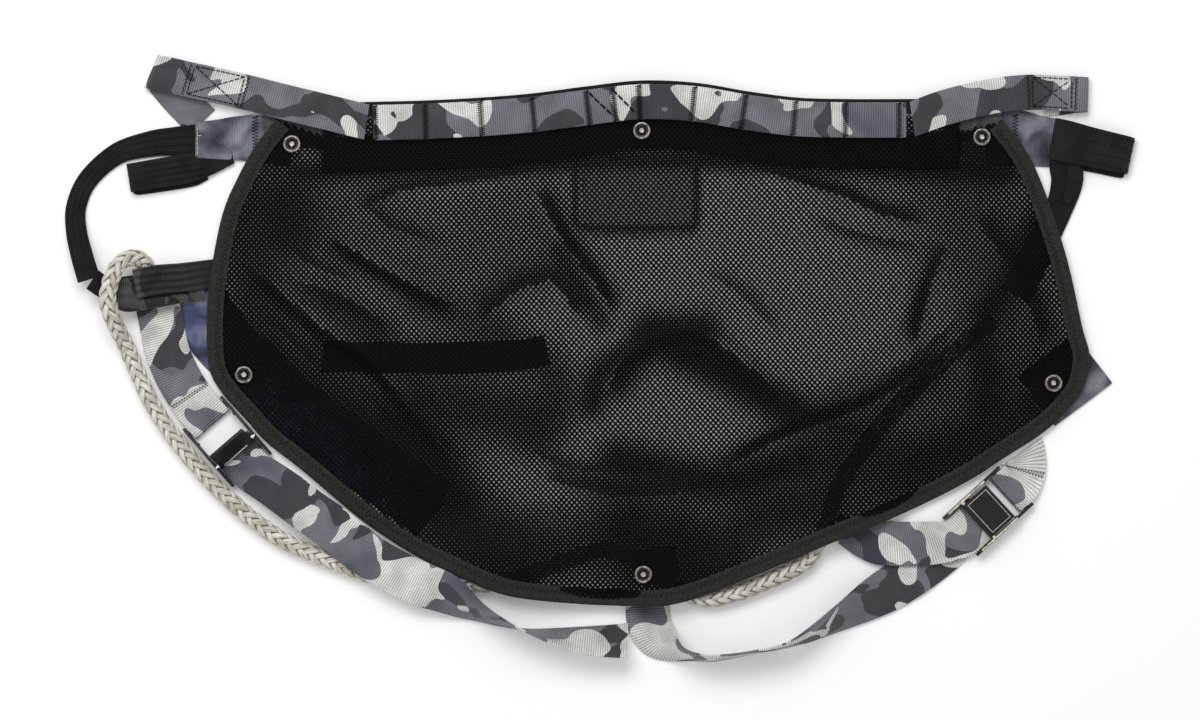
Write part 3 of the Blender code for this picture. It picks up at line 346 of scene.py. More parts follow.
def webbingFinish(name, colourOf, roughness, grooveShade=0.48, sheen=0.12, shine=0.3):
    # ribbed woven webbing: colourOf gives the colour from the webbing's own length and width
    made, tree, shader = newMaterial(name, (0.1, 0.1, 0.1), roughness, 0.0, sheen, shine)
    uv = onUV(tree)
    ribs = ribWave(tree, uv, weave["ribPitch"])
    yarns = ribWave(tree, uv, weave["yarnPitch"], "Y")
    fuzz = noise(tree, uv, weave["fuzzScale"], 2.0)
    # painted shade: the colour is darkened in the grooves between the ribs
    colour = multiply(tree, colourOf(tree, uv), toneRamp(tree, ribs, [(0.0, grooveShade), (0.55, 1.0)]))
    colour = multiply(tree, colour, toneRamp(tree, fuzz, [(0.3, 0.86), (0.7, 1.08)]))
    relief = addNode(tree, "ShaderNodeMath", {0: yarns, 2: ribs}, operation="MULTIPLY_ADD")
    relief.inputs[1].default_value = weave["yarnShare"]
    feed(tree, shader, {"Base Color": colour,
                        "Normal": bumpFrom(tree, relief.outputs["Value"], weave["relief"]),
                        "Roughness": between(tree, fuzz, roughness - 0.08, roughness + 0.1)})
    return made


def camoColour(paleAbove, shade=1.0):
    # printed patches in three tones, each tone uneven, with a bluish cast in places
    def cloud(tree, uv, kind):
        scale, shift, detail, bend = camoClouds[kind]
        return noise(tree, moved(tree, uv, Location=shift), scale, detail, Roughness=0.45, Distortion=bend)

    def colour(tree, uv):
        stops = [(0.0, camo["dark"]), (camo["darkBelow"], camo["mid"])]
        base = toneRamp(tree, cloud(tree, uv, "blobs"), stops, True)
        tint = toneRamp(tree, cloud(tree, uv, "cast"), [(0.58, 0.0), (0.74, 0.7)])
        base = mixColours(tree, "MIX", base, camo["ink"], tint)
        share = toneRamp(tree, cloud(tree, uv, "patches"), [(0.0, 0.0), (paleAbove, 1.0)], True)
        base = mixColours(tree, "MIX", base, camo["pale"], share)
        base = multiply(tree, base, toneRamp(tree, cloud(tree, uv, "uneven"), [(0.32, 0.76), (0.68, 1.14)]))
        return multiply(tree, base, (shade, shade, shade, 1.0))
    return colour


def cloudColour(scale, detail, bend, stops):
    # soft clouds of the given tones
    def colour(tree, uv):
        return toneRamp(tree, noise(tree, uv, scale, detail, Roughness=0.5, Distortion=bend), stops)
    return colour


satinColour = cloudColour(42.0, 2.0, 0.6, [
    (0.34, (0.022, 0.023, 0.036)), (0.46, (0.085, 0.088, 0.118)), (0.56, (0.180, 0.186, 0.225)),
    (0.68, (0.300, 0.305, 0.335)),
])
navyColour = cloudColour(48.0, 2.0, 0.8, [
    (0.36, (0.016, 0.019, 0.042)), (0.50, (0.070, 0.080, 0.185)), (0.62, (0.170, 0.182, 0.300)),
    (0.72, (0.48, 0.48, 0.51)),
])
blackColour = cloudColour(60.0, 3.0, 0.0, [(0.35, 0.006), (0.65, (0.015, 0.015, 0.0145))])
camoWebbing = webbingFinish("camoWebbing", camoColour(camo["paleAbove"]), 0.55)
camoPale = webbingFinish("camoPale", camoColour(camo["palerAbove"]), 0.55)
camoShaded = webbingFinish("camoShaded", camoColour(camo["palerAbove"], camo["shaded"]), 0.55)
satinWebbing = webbingFinish("satinWebbing", satinColour, 0.45, 0.78, 0.15)
navyWebbing = webbingFinish("navyWebbing", navyColour, 0.35, 0.78, 0.1)
blackWebbing = webbingFinish("blackWebbing", blackColour, 0.55, 0.45, 0.02, 0.14)


def yarnFinish(name, dark, pale, roughness, grainScale, sheen, shine=0.1):
    # plain dyed yarn with a fine grain of tone
    made, tree, shader = newMaterial(name, dark, roughness, 0.0, sheen, shine)
    grain = objectNoise(tree, grainScale, 3.0)
    feed(tree, shader, {"Base Color": toneRamp(tree, grain, [(0.3, dark), (0.7, pale)]),
                        "Normal": bumpFrom(tree, grain, 0.0001)})
    return made


netYarn = yarnFinish("netYarn", (0.001, 0.001, 0.001), (0.0042, 0.0042, 0.0042), 0.5, 900.0, 0.0, 0.03)
# cloth for the dark linings under the net, which are partly painted shade
shadeLiningCloth = yarnFinish("shadeLiningCloth", (0.02, 0.02, 0.022), (0.12, 0.12, 0.124), 0.9, 160.0, 0.0, 0.03)
tapeYarn = yarnFinish("tapeYarn", (0.012, 0.012, 0.011), (0.030, 0.030, 0.026), 0.8, 520.0, 0.1)
blackThread = yarnFinish("blackThread", (0.003, 0.003, 0.003), (0.010, 0.010, 0.011), 0.6, 1500.0, 0.0)
paleThread = yarnFinish("paleThread", (0.42, 0.42, 0.42), (0.66, 0.66, 0.64), 0.6, 1500.0, 0.1)


def metalFinish(name, dark, pale, roughness, metallic, scale, shine=0.5):
    # smudged metal or paint
    made, tree, shader = newMaterial(name, pale, roughness, metallic, 0.0, shine)
    smudge = objectNoise(tree, scale, 4.0)
    feed(tree, shader, {"Base Color": toneRamp(tree, smudge, [(0.32, dark), (0.62, pale)]),
                        "Roughness": between(tree, smudge, roughness - 0.1, roughness + 0.15),
                        "Normal": bumpFrom(tree, smudge, 0.00005)})
    return made


agedNickel = metalFinish("agedNickel", (0.05, 0.047, 0.041), (0.30, 0.285, 0.255), 0.36, 1.0, 500.0)
paleNickel = metalFinish("paleNickel", (0.20, 0.19, 0.17), (0.58, 0.56, 0.51), 0.3, 1.0, 500.0)
blackPaint = metalFinish("blackPaint", (0.0025,) * 3, (0.007,) * 3, 0.34, 0.0, 220.0, 0.25)
wornBrass = metalFinish("wornBrass", (0.20, 0.17, 0.12), (0.60, 0.54, 0.43), 0.38, 1.0, 300.0)
plainSteel = metalFinish("plainSteel", (0.36, 0.35, 0.33), (0.66, 0.65, 0.62), 0.3, 1.0, 400.0)


def ropeFinish():
    # plaited fibre: strands lie along u, with painted shade darkening each strand to its sides and where it
    # passes under the others
    made, tree, shader = newMaterial("ropeFibre", (0.5, 0.48, 0.42), 0.75, sheen=0.1)
    uv = onUV(tree)
    fibre = noise(tree, moved(tree, uv, Scale=(120.0, 9.0, 1.0)), 1.0, 4.0, Roughness=0.65)
    soil = noise(tree, moved(tree, uv, Scale=(45.0, 1.3, 1.0)), 1.0, 2.0)
    lay = addNode(tree, "ShaderNodeSeparateXYZ", {"Vector": onUV(tree, "lay")}).outputs["X"]
    tones = [(0.30, (0.25, 0.23, 0.185)), (0.48, (0.66, 0.64, 0.575)), (0.70, (0.88, 0.87, 0.82))]
    stains = [(0.35, (0.66, 0.63, 0.54)), (0.6, 1.0)]
    strandShadeTones = [(0.30, (0.035, 0.032, 0.026)), (0.66, 1.0)]
    colour = multiply(tree, toneRamp(tree, fibre, tones), toneRamp(tree, soil, stains))
    colour = multiply(tree, colour, toneRamp(tree, lay, strandShadeTones))
    feed(tree, shader, {"Base Color": colour, "Normal": bumpFrom(tree, fibre, 0.0003)})
    return made


ropeFibre = ropeFinish()
print("finishes made")


# piece helpers

def deselect():
    bpy.ops.object.select_all(action="DESELECT")


def useObject(piece):
    deselect()
    piece.select_set(True)
    bpy.context.view_layer.objects.active = piece


def applyModifiers(piece):
    useObject(piece)
    for modifier in list(piece.modifiers):
        bpy.ops.object.modifier_apply(modifier=modifier.name)


def settle(piece, finish, body=None, stands=()):
    piece.data.materials.clear()
    piece.data.materials.append(finish)
    if stands:
        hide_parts(*stands)
    if body:
        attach(piece, body)
    return piece


def layUV(mesh, layer, places):
    # each face corner takes the place of its point
    corner = np.empty(len(mesh.loops), dtype=np.int32)
    mesh.loops.foreach_get("vertex_index", corner)
    layer.data.foreach_set("uv", places.reshape(-1, 2)[corner].reshape(-1).astype(np.float32))


def soften(piece, width, angle=30):
    # rounded edges where faces meet at more than the angle
    soft = piece.modifiers.new("soft", "BEVEL")
    soft.width = width
    soft.segments = 2
    soft.limit_method = "ANGLE"
    soft.angle_limit = math.radians(angle)


def gridUV(run, reach):
    return np.dstack(np.broadcast_arrays(run[:, None], reach[None, :]))


def beside(line, normal, reach):
    # plan places beside a line, one row of them for each of its points
    return line[:, None, :] + normal[:, None, :] * reach[..., None]


def layGrid(name, points, uv, thick, roundEdge=0.35):
    # a flat grid laid on the given rows of points, then given its thickness and soft edges
    rows, columns = points.shape[:2]
    deselect()
    bpy.ops.mesh.primitive_grid_add(x_subdivisions=columns - 1, y_subdivisions=rows - 1, size=1.0)
    piece = bpy.context.object
    piece.name = name
    mesh = piece.data
    mesh.name = name
    mesh.vertices.foreach_set("co", points.reshape(-1).astype(np.float32))
    mesh.uv_layers[0].name = "UVMap"
    layUV(mesh, mesh.uv_layers[0], uv)
    mesh.update()
    wall = piece.modifiers.new("wall", "SOLIDIFY")
    wall.thickness = thick
    wall.offset = 0.0
    if roundEdge:
        soften(piece, roundEdge * thick, 60)
    applyModifiers(piece)
    bpy.ops.object.shade_smooth_by_angle(angle=math.radians(50))
    return piece


def strapLine(rows, thick):
    # the strap's middle line with its width and face directions, a half rib apart
    rows = [(*at(x, y)[:2], z, turn, tilt, width) for x, y, z, turn, tilt, width in rows]
    path = even(smooth(rows, weave["pathStep"]), weave["ribPitch"] / 2)
    turn, tilt = np.radians(path[:, 3]), np.radians(path[:, 4])
    rest = np.abs(np.sin(tilt)) * path[:, 5] / 2 + np.abs(np.cos(tilt)) * thick / 2
    path[:, 2] = np.maximum(path[:, 2], rest)
    along = np.gradient(path[:, :3], axis=0)
    across = np.stack([np.cos(tilt) * np.cos(turn), np.cos(tilt) * np.sin(turn), np.sin(tilt)], axis=1)
    face = np.cross(along, across)
    face /= np.linalg.norm(face, axis=1)[:, None]
    return {"place": path[:, :3], "across": across, "face": face, "width": path[:, 5],
            "run": lengthAlong(path[:, :3]), "thick": thick}


def headingRows(points, width, side=90.0):
    # rows of a level strap that faces along its route
    plan = np.array([(x, y) for x, y, _ in points], dtype=float)
    way = np.gradient(plan, axis=0)
    turn = np.degrees(np.unwrap(np.arctan2(way[:, 1], way[:, 0]))) + side
    wide = np.broadcast_to(width, len(points))
    return [(x, y, z, a, 0.0, w) for (x, y, z), a, w in zip(points, turn, wide)]


def levelRows(rows, width):
    # rows of a level strap of one width, from place, height and turn
    return [(*row, 0.0, width) for row in rows]


def halfTurn(x, y, heading, high, lowEnd, turnFrom, turnTo, width, steps=6):
    # rows of a strap that folds back from one height to another
    radius = (high - lowEnd) / 2
    rows = []
    for i in range(1, steps):
        angle = math.pi * i / steps
        reach = abs(radius) * math.sin(angle) / mm
        height = (high + lowEnd) / 2 + radius * math.cos(angle)
        turn = turnFrom + (turnTo - turnFrom) * i / steps
        rows.append((x + reach * math.cos(heading), y + reach * math.sin(heading), height, turn, 0.0, width))
    return rows


# pleats along a strap: how far and from where they settle, and how they wander
pleat = {"fade": 0.75, "fadeFrom": 0.35, "wander": 1.1, "bends": 2.6, "columns": 25, "plainColumns": 9}


def layStrap(name, line, finish, pattern=0.0, stands=(), pleats=(0, 0.0)):
    # webbing along its line: ribs across it, and its own length and width as the pattern's place
    count = len(line["run"])
    columns = pleat["columns"] if pleats[0] else pleat["plainColumns"]
    share = np.linspace(-0.5, 0.5, columns)
    rib = np.where(np.arange(count) % 2, 0.5, -0.5) * weave["ribDepth"]
    along = line["run"] / line["run"][-1]
    settled = 1.0 - pleat["fade"] * ease(along, pleat["fadeFrom"], 1.0)
    wander = pleat["wander"] * np.sin(pleat["bends"] * along)
    fold = pleats[1] * settled[:, None] * np.sin(2 * math.pi * pleats[0] * share[None, :] + wander[:, None])
    offset = line["across"][:, None, :] * (line["width"][:, None] * share[None, :])[:, :, None]
    rise = line["face"][:, None, :] * (rib[:, None] + fold)[:, :, None]
    points = line["place"][:, None, :] + offset + rise
    uv = np.zeros((count, columns, 2))
    uv[:, :, 0] = (line["run"] + pattern)[:, None]
    uv[:, :, 1] = line["width"][:, None] * share[None, :] + weave["patternSlip"] * pattern
    piece = layGrid(name, points, uv, line["thick"] - weave["ribDepth"])
    return settle(piece, finish, stands=stands)


def onStrap(line, along, across, side=1.0, lift=0.0001):
    # points on the strap's face at lengths along it and places across it
    along = np.asarray(along, dtype=float)
    pick = [np.stack([np.interp(along, line["run"], line[key][:, k]) for k in range(3)], axis=1)
            for key in ("place", "across", "face")]
    up = side * (line["thick"] / 2 + lift)
    return pick[0] + pick[1] * np.asarray(across)[..., None] + pick[2] * up


# stitches, m
thread = {"stitch": 0.0028, "gap": 0.0009, "sink": 0.00025, "across": 0.0026, "acrossStep": 0.0033,
          "acrossEnd": 0.002}


def sew(name, runs, radius, finish, body=None):
    # threads as one set of bevelled lines, made a mesh
    curve = bpy.data.curves.new(name, "CURVE")
    curve.dimensions = "3D"
    curve.bevel_depth = radius
    curve.bevel_resolution = 1
    curve.use_fill_caps = True
    for run in runs:
        line = curve.splines.new("POLY")
        line.points.add(len(run) - 1)
        line.points.foreach_set("co", np.column_stack([run, np.ones(len(run))]).reshape(-1))
    useObject(newPiece(name, curve))
    bpy.ops.object.convert(target="MESH")
    piece = bpy.context.object
    piece.name = name
    bpy.ops.object.shade_smooth()
    return settle(piece, finish, body)


def stitchRow(line, start, end, across, side=1.0):
    # a row of single stitches between two lengths on a strap, each a low arch
    runs = []
    for first in np.arange(start, end - thread["stitch"], thread["stitch"] + thread["gap"]):
        spots = np.linspace(first, first + thread["stitch"], 4)
        places = np.interp(spots, [start, end], across) if np.ndim(across) else np.full(4, across)
        points = onStrap(line, spots, places, side)
        points[[0, -1]] -= thread["sink"] * side * np.array([0.0, 0.0, 1.0])
        runs.append(points)
    return runs


def crossRow(line, along, start, end, step, side=1.0):
    # a row of single stitches across a strap at one length
    runs = []
    for first in np.arange(start, end, step):
        across = np.linspace(first, first + thread["across"], 3)
        runs.append(onStrap(line, np.full(3, along), across, side))
    return runs


def runNear(line, x, y):
    # the length along a strap that is nearest to a place in plan
    return line["run"][np.argmin(np.linalg.norm(line["place"][:, :2] - at(x, y)[:2], axis=1))]


def barTack(line, along, halfWidth, side=1.0, spread=0.0014, turns=28):
    # a dense zigzag across the webbing
    across = np.linspace(-halfWidth, halfWidth, turns)
    spots = along + np.where(np.arange(turns) % 2, spread, -spread)
    return [onStrap(line, spots, across, side)]


def boxCross(line, start, end, halfWidth, side=1.0):
    # a sewn box with a cross in it
    runs = []
    for across in (-halfWidth, halfWidth, (-halfWidth, halfWidth), (halfWidth, -halfWidth)):
        runs += stitchRow(line, start, end, across, side)
    for spot in (start, end):
        runs += crossRow(line, spot, -halfWidth, halfWidth - thread["acrossEnd"], thread["acrossStep"], side)
    return runs


# bridge rope first: a hollow plait of twelve strands along the route
rope = {
    "route": [
        (-324, 44, ropeLow), (-324, 54, ropeLow + 0.0003), (-327, 64, 0.010), (-335, 68, 0.017),
        (-345, 62, eyeTop - 0.0015), (-351, 47, eyeTop), (-352, 35, eyeTop - 0.0002),
        (-349, 25, eyeTop - 0.0028), (-345, 15, 0.0135), (-340, 4, 0.0080), (-333, -13, ropeLow),
        (-324, -33, ropeLow), (-309.5, -56.5, ropeLow), (-292.5, -78, ropeLow), (-273.5, -99, ropeLow),
        (-252, -118, ropeLow), (-231, -133, ropeLow), (-208, -144, ropeLow), (-185, -153, ropeLow),
        (-165, -160, ropeLow), (-140, -164, ropeLow), (-115, -163.5, ropeLow), (-90, -166.5, ropeLow),
        (-60, -163, ropeLow), (-25, -150, ropeLow), (5, -142, ropeLow), (30, -150, ropeLow),
        (52, -168, ropeLow), (80, -177, ropeLow), (121, -164, ropeLow), (150, -148, ropeLow),
        (162, -126, ropeLow), (171, -98, ropeLow), (190, -68, ropeLow), (220, -32, ropeLow),
        (256, 2, ropeLow), (282, 22, ropeLow),
    ],
    "hiddenFrom": 22, "routeStep": 0.018, "length": 0.9145, "diameter": 0.013, "strands": 6, "turn": 0.0516,
    "middleRadius": 0.0043, "wave": 0.00095, "halfWidth": 0.00225, "halfThick": 0.00120, "fine": 0.002,
    "step": 0.0012, "sides": 7, "uvSlip": 3.1, "declareEvery": 8,
}


def carriedFrames(path):
    # directions across the rope, carried along it without twist
    along = np.gradient(path, axis=0)
    along /= np.linalg.norm(along, axis=1)[:, None]
    first = np.cross(along[0], (0.0, 0.0, 1.0))
    sides = [first / np.linalg.norm(first)]
    for way in along[1:]:
        side = sides[-1] - way * (sides[-1] @ way)
        sides.append(side / np.linalg.norm(side))
    sides = np.array(sides)
    return sides, np.cross(along, sides)


def strandLine(path, side, up, run, hand, number):
    # a strand's middle line, its way out from the rope's middle, and how far it lies over the others
    angle = hand * 2 * math.pi * run / rope["turn"] + 2 * math.pi * number / rope["strands"]
    crossing = 2 * rope["strands"] * run / rope["turn"]
    over = hand * np.cos(2 * math.pi * (hand * crossing + 2 * number - 0.5) / 4)
    out = side * np.cos(angle)[:, None] + up * np.sin(angle)[:, None]
    middle = path + out * (rope["middleRadius"] + rope["wave"] * over)[:, None]
    return middle, out, over


def plaitRope():
    route = smooth([at(*p) for p in rope["route"]], rope["routeStep"])
    path = even(smooth(route, rope["fine"]), rope["step"])
    side, up = carriedFrames(path)
    run = lengthAlong(path)
    ring = np.linspace(0.0, 2 * math.pi, rope["sides"], endpoint=False)
    grid = np.arange(len(path) * rope["sides"]).reshape(len(path), rope["sides"])
    points, faces, uvs, strandShades = [], [], [], []
    for hand in (1, -1):
        for number in range(rope["strands"]):
            middle, out, over = strandLine(path, side, up, run, hand, number)
            flat = np.cross(np.gradient(middle, axis=0), out)
            flat /= np.linalg.norm(flat, axis=1)[:, None]
            index = len(points) * grid.size + grid
            spots = (middle[:, None, :] + flat[:, None, :] * (rope["halfWidth"] * np.cos(ring))[None, :, None]
                     + out[:, None, :] * (rope["halfThick"] * np.sin(ring))[None, :, None])
            points.append(spots.reshape(-1, 3))
            ahead = np.roll(index, -1, axis=1)
            quads = np.stack([index[:-1], ahead[:-1], ahead[1:], index[1:]], axis=-1).reshape(-1, 4)
            faces += quads[:, ::-1].tolist()
            faces += [index[0].tolist(), index[-1][::-1].tolist()]
            slip = (0.0, rope["uvSlip"] * (number + 10 * hand))
            uvs.append(gridUV(run, ring / (2 * math.pi)).reshape(-1, 2) + slip)
            # painted shade: a strand is darker at its sides and where it passes under another strand
            crown = 0.5 * (1.0 - np.abs(np.cos(ring)) ** 3)[None, :] + 0.5 * (0.5 + 0.5 * over)[:, None]
            strandShades.append(np.dstack([crown, np.zeros_like(crown)]).reshape(-1, 2))
    mesh = bpy.data.meshes.new("plaitedRope")
    mesh.from_pydata(np.vstack(points), [], faces)
    layUV(mesh, mesh.uv_layers.new(name="UVMap"), np.vstack(uvs))
    layUV(mesh, mesh.uv_layers.new(name="lay"), np.vstack(strandShades))
    piece = newPiece("plaitedRope", mesh)
    useObject(piece)
    bpy.ops.object.mode_set(mode="EDIT")
    bpy.ops.mesh.select_all(action="SELECT")
    bpy.ops.mesh.normals_make_consistent(inside=False)
    bpy.ops.object.mode_set(mode="OBJECT")
    bpy.ops.object.shade_smooth()
    settle(piece, ropeFibre, "seat", ["bridge_rope"])
    return path


ropePath = plaitRope()
print("rope plaited,", round(float(lengthAlong(ropePath)[-1]), 4), "m")

# seat: outline, height, folds
seat = {
    "edge": [
        (-233, 168), (-247, 150), (-260, 127), (-272, 98), (-281, 50), (-283, 15), (-281, -12), (-272, -29),
        (-255, -48), (-239.5, -65), (-214, -85), (-176, -117), (-151, -135), (-129, -148), (-109, -157),
        (-83, -169), (-59, -176), (-16, -180.5), (18, -182), (48, -181.5), (80, -172.5), (133, -151),
        (163, -138), (207, -120.5), (241, -105), (269, -90), (289, -77), (317, -59), (335, -43), (348, -25),
        (352, -2), (347, 18), (334, 74), (312, 135), (290, 167),
    ],
    "hem": [
        (-200, 164), (-163, 165), (-125, 166), (-86, 168), (-48, 171), (-8, 176), (30, 180), (68, 178.5),
        (105, 172.5), (142, 168), (179, 167), (220, 167), (258, 167),
    ],
    # route in plan mm, height mm, and half width mm on the left and on the right
    "folds": [
        ([(-259, 68), (-234, 48), (-211, 27), (-188, 9), (-166, -2), (-145, -30), (-117, -63), (-96, -90)],
         8.0, 16, 6),
        ([(-197, 85), (-146, 55), (-100, 31)], 6.5, 17, 6),
        ([(-222, 52), (-186, 42), (-150, 18)], 3.5, 9, 6),
        ([(-176, 100), (-144, 116), (-94, 123), (-36, 133)], 4.0, 6, 13),
        ([(-48, 121), (-27, 81), (-5, 52), (11, 26)], 6.0, 6, 13),
        ([(-86, 22), (-58, 46), (-36, 52), (-14, 24)], 5.0, 9, 13),
        ([(108, 133), (152, 120), (180, 110), (202, 99), (238, 92)], 5.0, 6, 14),
        ([(80, -88), (134, -60), (184, -42), (220, -21), (258, 11)], 8.0, 6, 18),
        ([(250, 80), (235, 40), (226, 4)], 4.5, 15, 6),
        ([(2, -38), (14, -9), (36, 9), (65, 16), (94, 0), (136, -36)], 5.5, 10, 9),
        ([(-44, -90), (20, -104), (84, -96)], 3.5, 9, 13),
        ([(-200, -30), (-150, -72), (-94, -114)], 3.5, 9, 13),
        ([(268, 100), (300, 50), (318, 4)], 4.0, 8, 13),
    ],
    "foldStep": 0.016, "foldEnds": (0.20, 0.78), "edgeFade": (0.013, 0.036), "hemFade": (0.0375, 0.054),
    "ropeRidge": 0.015, "ropeSlope": 0.060, "snapFlat": 0.0075, "snapBlend": 0.0240, "coarse": 4,
    "curveStep": 0.004, "pointStep": 0.002,
}
snapPlaces = {
    "top_left": (-221.5, 150), "top_middle": (30, 159.5), "top_right": (274.5, 155),
    "low_left": (-256, -16), "low_middle": (31, -159), "low_right": (326, -22),
}
edgeLine = even(smoothPlan(seat["edge"], seat["curveStep"]), seat["pointStep"])
edgeIn = planNormals(edgeLine)
hemLine = even(smoothPlan(seat["hem"], seat["curveStep"]), seat["pointStep"])
hemUp = planNormals(hemLine)
ropeUnder = smoothPlan([(x, y) for x, y, _ in rope["route"][rope["hiddenFrom"]:]], rope["routeStep"])
foldLines = [(smoothPlan(route, seat["foldStep"]), *size) for route, *size in seat["folds"]]


def softRise(x, y):
    hump = 1.0 - ease(nearLine(x, y, ropeUnder)[0], seat["ropeRidge"], seat["ropeSlope"])
    folds = np.zeros(np.shape(x))
    for line, height, left, right in foldLines:
        gap, side, share = nearLine(x, y, line)
        half = mm * np.where(side > 0, left, right)
        folds = folds + mm * height * endFade(share, *seat["foldEnds"]) * bell(gap, half)
    toEdge = nearLine(x, y, edgeLine[::seat["coarse"]])[0]
    toHem = nearLine(x, y, hemLine[::seat["coarse"]])[0]
    return ropeRise * hump + folds * ease(toEdge, *seat["edgeFade"]) * ease(toHem, *seat["hemFade"])


def seatRise(x, y):
    x, y = np.asarray(x, dtype=float), np.asarray(y, dtype=float)
    rise = softRise(x, y)
    for place in snapPlaces.values():
        middle = at(*place)
        level = softRise(middle[0:1], middle[1:2])[0]
        share = ease(np.hypot(x - middle[0], y - middle[1]), seat["snapFlat"], seat["snapBlend"])
        rise = level + (rise - level) * share
    return rise


# open net: staggered six-sided holes in a thin cloth, with real thickness
net = {
    "acrossPitch": 0.00370, "rowPitch": 0.00205, "hole": 0.00091, "closed": 0.31, "thick": 0.0007,
    "strips": 5, "turn": math.radians(2.0), "rimInset": 0.0016, "hemOverlap": 0.0085, "cutMargin": 0.001,
    "strokeStep": 0.005,
}
# how the holes close: as painted shade on steep cloth, on a fold's steep side and along a painted wrinkle, as
# a little painted light on a fold's other side, and unevenly all over
closing = {
    "steep": (0.25, 0.9), "steepShadeShare": 0.6, "slopeStep": 0.0008, "creaseShadeShare": 0.85, "creaseReach": 1.5,
    "creaseLitBack": -0.12, "creaseEnds": (0.12, 0.85), "fullFold": 5.0, "wrinkleEnds": (0.3, 0.7),
    "uneven": 0.07, "unevenTurns": (913.0, 711.0, 1207.0), "unevenBend": 2.3,
}
# strokes in which the net's holes are smaller, so the net is darker there, partly as painted shade of folds
# and partly for darker layers beneath: route in plan mm, half width mm, share closed
closeStrokes = [
    ([(-263, 113), (-252, 67), (-243, 13)], 26, 0.6),
    ([(-227, 106), (-223, 92)], 24, 0.75),
    ([(-268, 6), (-248, -18)], 16, 0.4),
    ([(-190, -20), (-120, -80)], 22, 0.45),
    ([(-124, -112), (-98, -134), (-66, -152)], 30, 0.8),
    ([(-150, -58), (-124, -80), (-102, -110)], 18, 0.85),
    ([(-238, 2), (-196, -32), (-152, -64)], 11, 0.75),
    ([(-180, 92), (-120, 68), (-60, 92)], 45, 0.2),
    ([(-203, 0), (-122, -3), (-58, 0), (-34, -15), (-30, -37), (-43, -59)], 15, 0.45),
    ([(-126, -34), (-58, -45)], 24, 0.6),
    ([(-6, -36), (1, -13), (23, 2), (37, 15)], 9, 0.75),
    ([(36, 15), (73, 16)], 12, 0.92),
    ([(59, 0), (101, -20), (138, -43)], 12, 0.9),
    ([(13, -77), (86, -93), (145, -77)], 14, 0.8),
    ([(115, -118), (167, -99)], 16, 0.5),
    ([(20, -131), (43, -157), (72, -170)], 32, 0.97),
    ([(58, -138), (88, -150)], 24, 0.75),
    ([(-72, -135), (-27, -139)], 22, 0.5),
    ([(263, 117), (292, 38), (295, -56)], 42, 0.35),
    ([(274, 5), (278, -36)], 12, 0.75),
    ([(323, 106), (289, 46), (276, 29)], 11, 0.95),
    ([(176, -72), (230, -75), (289, -63)], 25, 0.65),
    ([(338, -6), (326, -22), (312, -40)], 15, 0.75),
    ([(-236, 146), (-216, 162), (-184, 153)], 14, 0.8),
    ([(288, 142), (248, 152)], 16, 0.9),
    ([(-216, 130), (-86, 134), (29, 139), (144, 136), (288, 130)], 7, 0.75),
    ([(202, 139), (288, 135)], 12, 0.6),
    ([(-18, 133), (-18, 94), (-14, 90), (66, 90), (69, 94), (69, 133)], 2.4, 0.6),
    ([(101, -128), (180, -113), (259, -85)], 22, 0.4),
    ([(-130, 38), (-72, 16)], 12, 0.35),
    ([(158, -45), (238, -20)], 16, 0.4),
    ([(-194, 38), (-158, 16)], 12, 0.45),
    ([(-29, 74), (0, 23)], 7, 0.5),
]
# painted shade of fine wrinkles that the seat's height doesn't have, dark on their left side: route in plan
# mm, width mm, share closed
wrinkleShade = [
    ([(-250, 30), (-222, 8), (-196, -22)], 6, 0.7),
    ([(-236, 84), (-205, 62), (-172, 50)], 6, 0.6),
    ([(-184, -18), (-152, -50), (-128, -84)], 6, 0.6),
    ([(-160, -16), (-118, -60), (-96, -84)], 5, 0.6),
    ([(-176, 112), (-150, 90), (-112, 78)], 7, 0.5),
    ([(262, 30), (225, -2), (190, -24)], 6, 0.6),
    ([(236, 78), (196, 84), (150, 100)], 6, 0.5),
    ([(118, -20), (160, -52), (204, -62)], 6, 0.6),
    ([(70, 60), (104, 40), (130, 8)], 8, 0.35),
    ([(-60, -66), (-20, -84), (30, -86)], 6, 0.5),
]


def holeSize(x, y):
    # the net's holes shrink in the strokes; they shrink as painted shade on a fold's steep side, beside the
    # painted wrinkles and on steep cloth, and grow a little as painted light on a fold's other side
    clear = np.ones(np.shape(x))
    for route, half, share in closeStrokes:
        gap = nearLine(x, y, smoothPlan(route, net["strokeStep"]))[0]
        clear = clear * (1.0 - share * bell(gap, mm * half))
    # painted shade on each fold's steep side, and a little painted light on its other side
    for line, height, left, right in foldLines:
        gap, side, share = nearLine(x, y, line)
        half = mm * min(left, right)
        steep = (side > 0) == (left < right)
        back = closing["creaseLitBack"] * bell(gap, half)
        band = np.where(steep, bell(gap, closing["creaseReach"] * half), back)
        strength = closing["creaseShadeShare"] * min(1.0, height / closing["fullFold"])
        clear = clear * (1.0 - strength * endFade(share, *closing["creaseEnds"]) * band)
    # painted shade beside the wrinkles
    for route, half, strength in wrinkleShade:
        gap, side, share = nearLine(x, y, smoothPlan(route, net["strokeStep"]))
        band = np.where(side > 0, bell(gap, mm * half), 0.0)
        clear = clear * (1.0 - strength * endFade(share, *closing["wrinkleEnds"]) * band)
    # painted shade on steep cloth
    step = closing["slopeStep"]
    slopeX = (seatRise(x + step, y) - seatRise(x - step, y)) / (2 * step)
    slopeY = (seatRise(x, y + step) - seatRise(x, y - step)) / (2 * step)
    clear = clear * (1.0 - closing["steepShadeShare"] * ease(np.hypot(slopeX, slopeY), *closing["steep"]))
    size = net["hole"] * (net["closed"] + (1.0 - net["closed"]) * clear)
    alongX, bendY, alongY = closing["unevenTurns"]
    waves = np.sin(alongX * x + closing["unevenBend"] * np.sin(bendY * y)) * np.cos(alongY * y)
    return size * (1.0 + closing["uneven"] * waves)


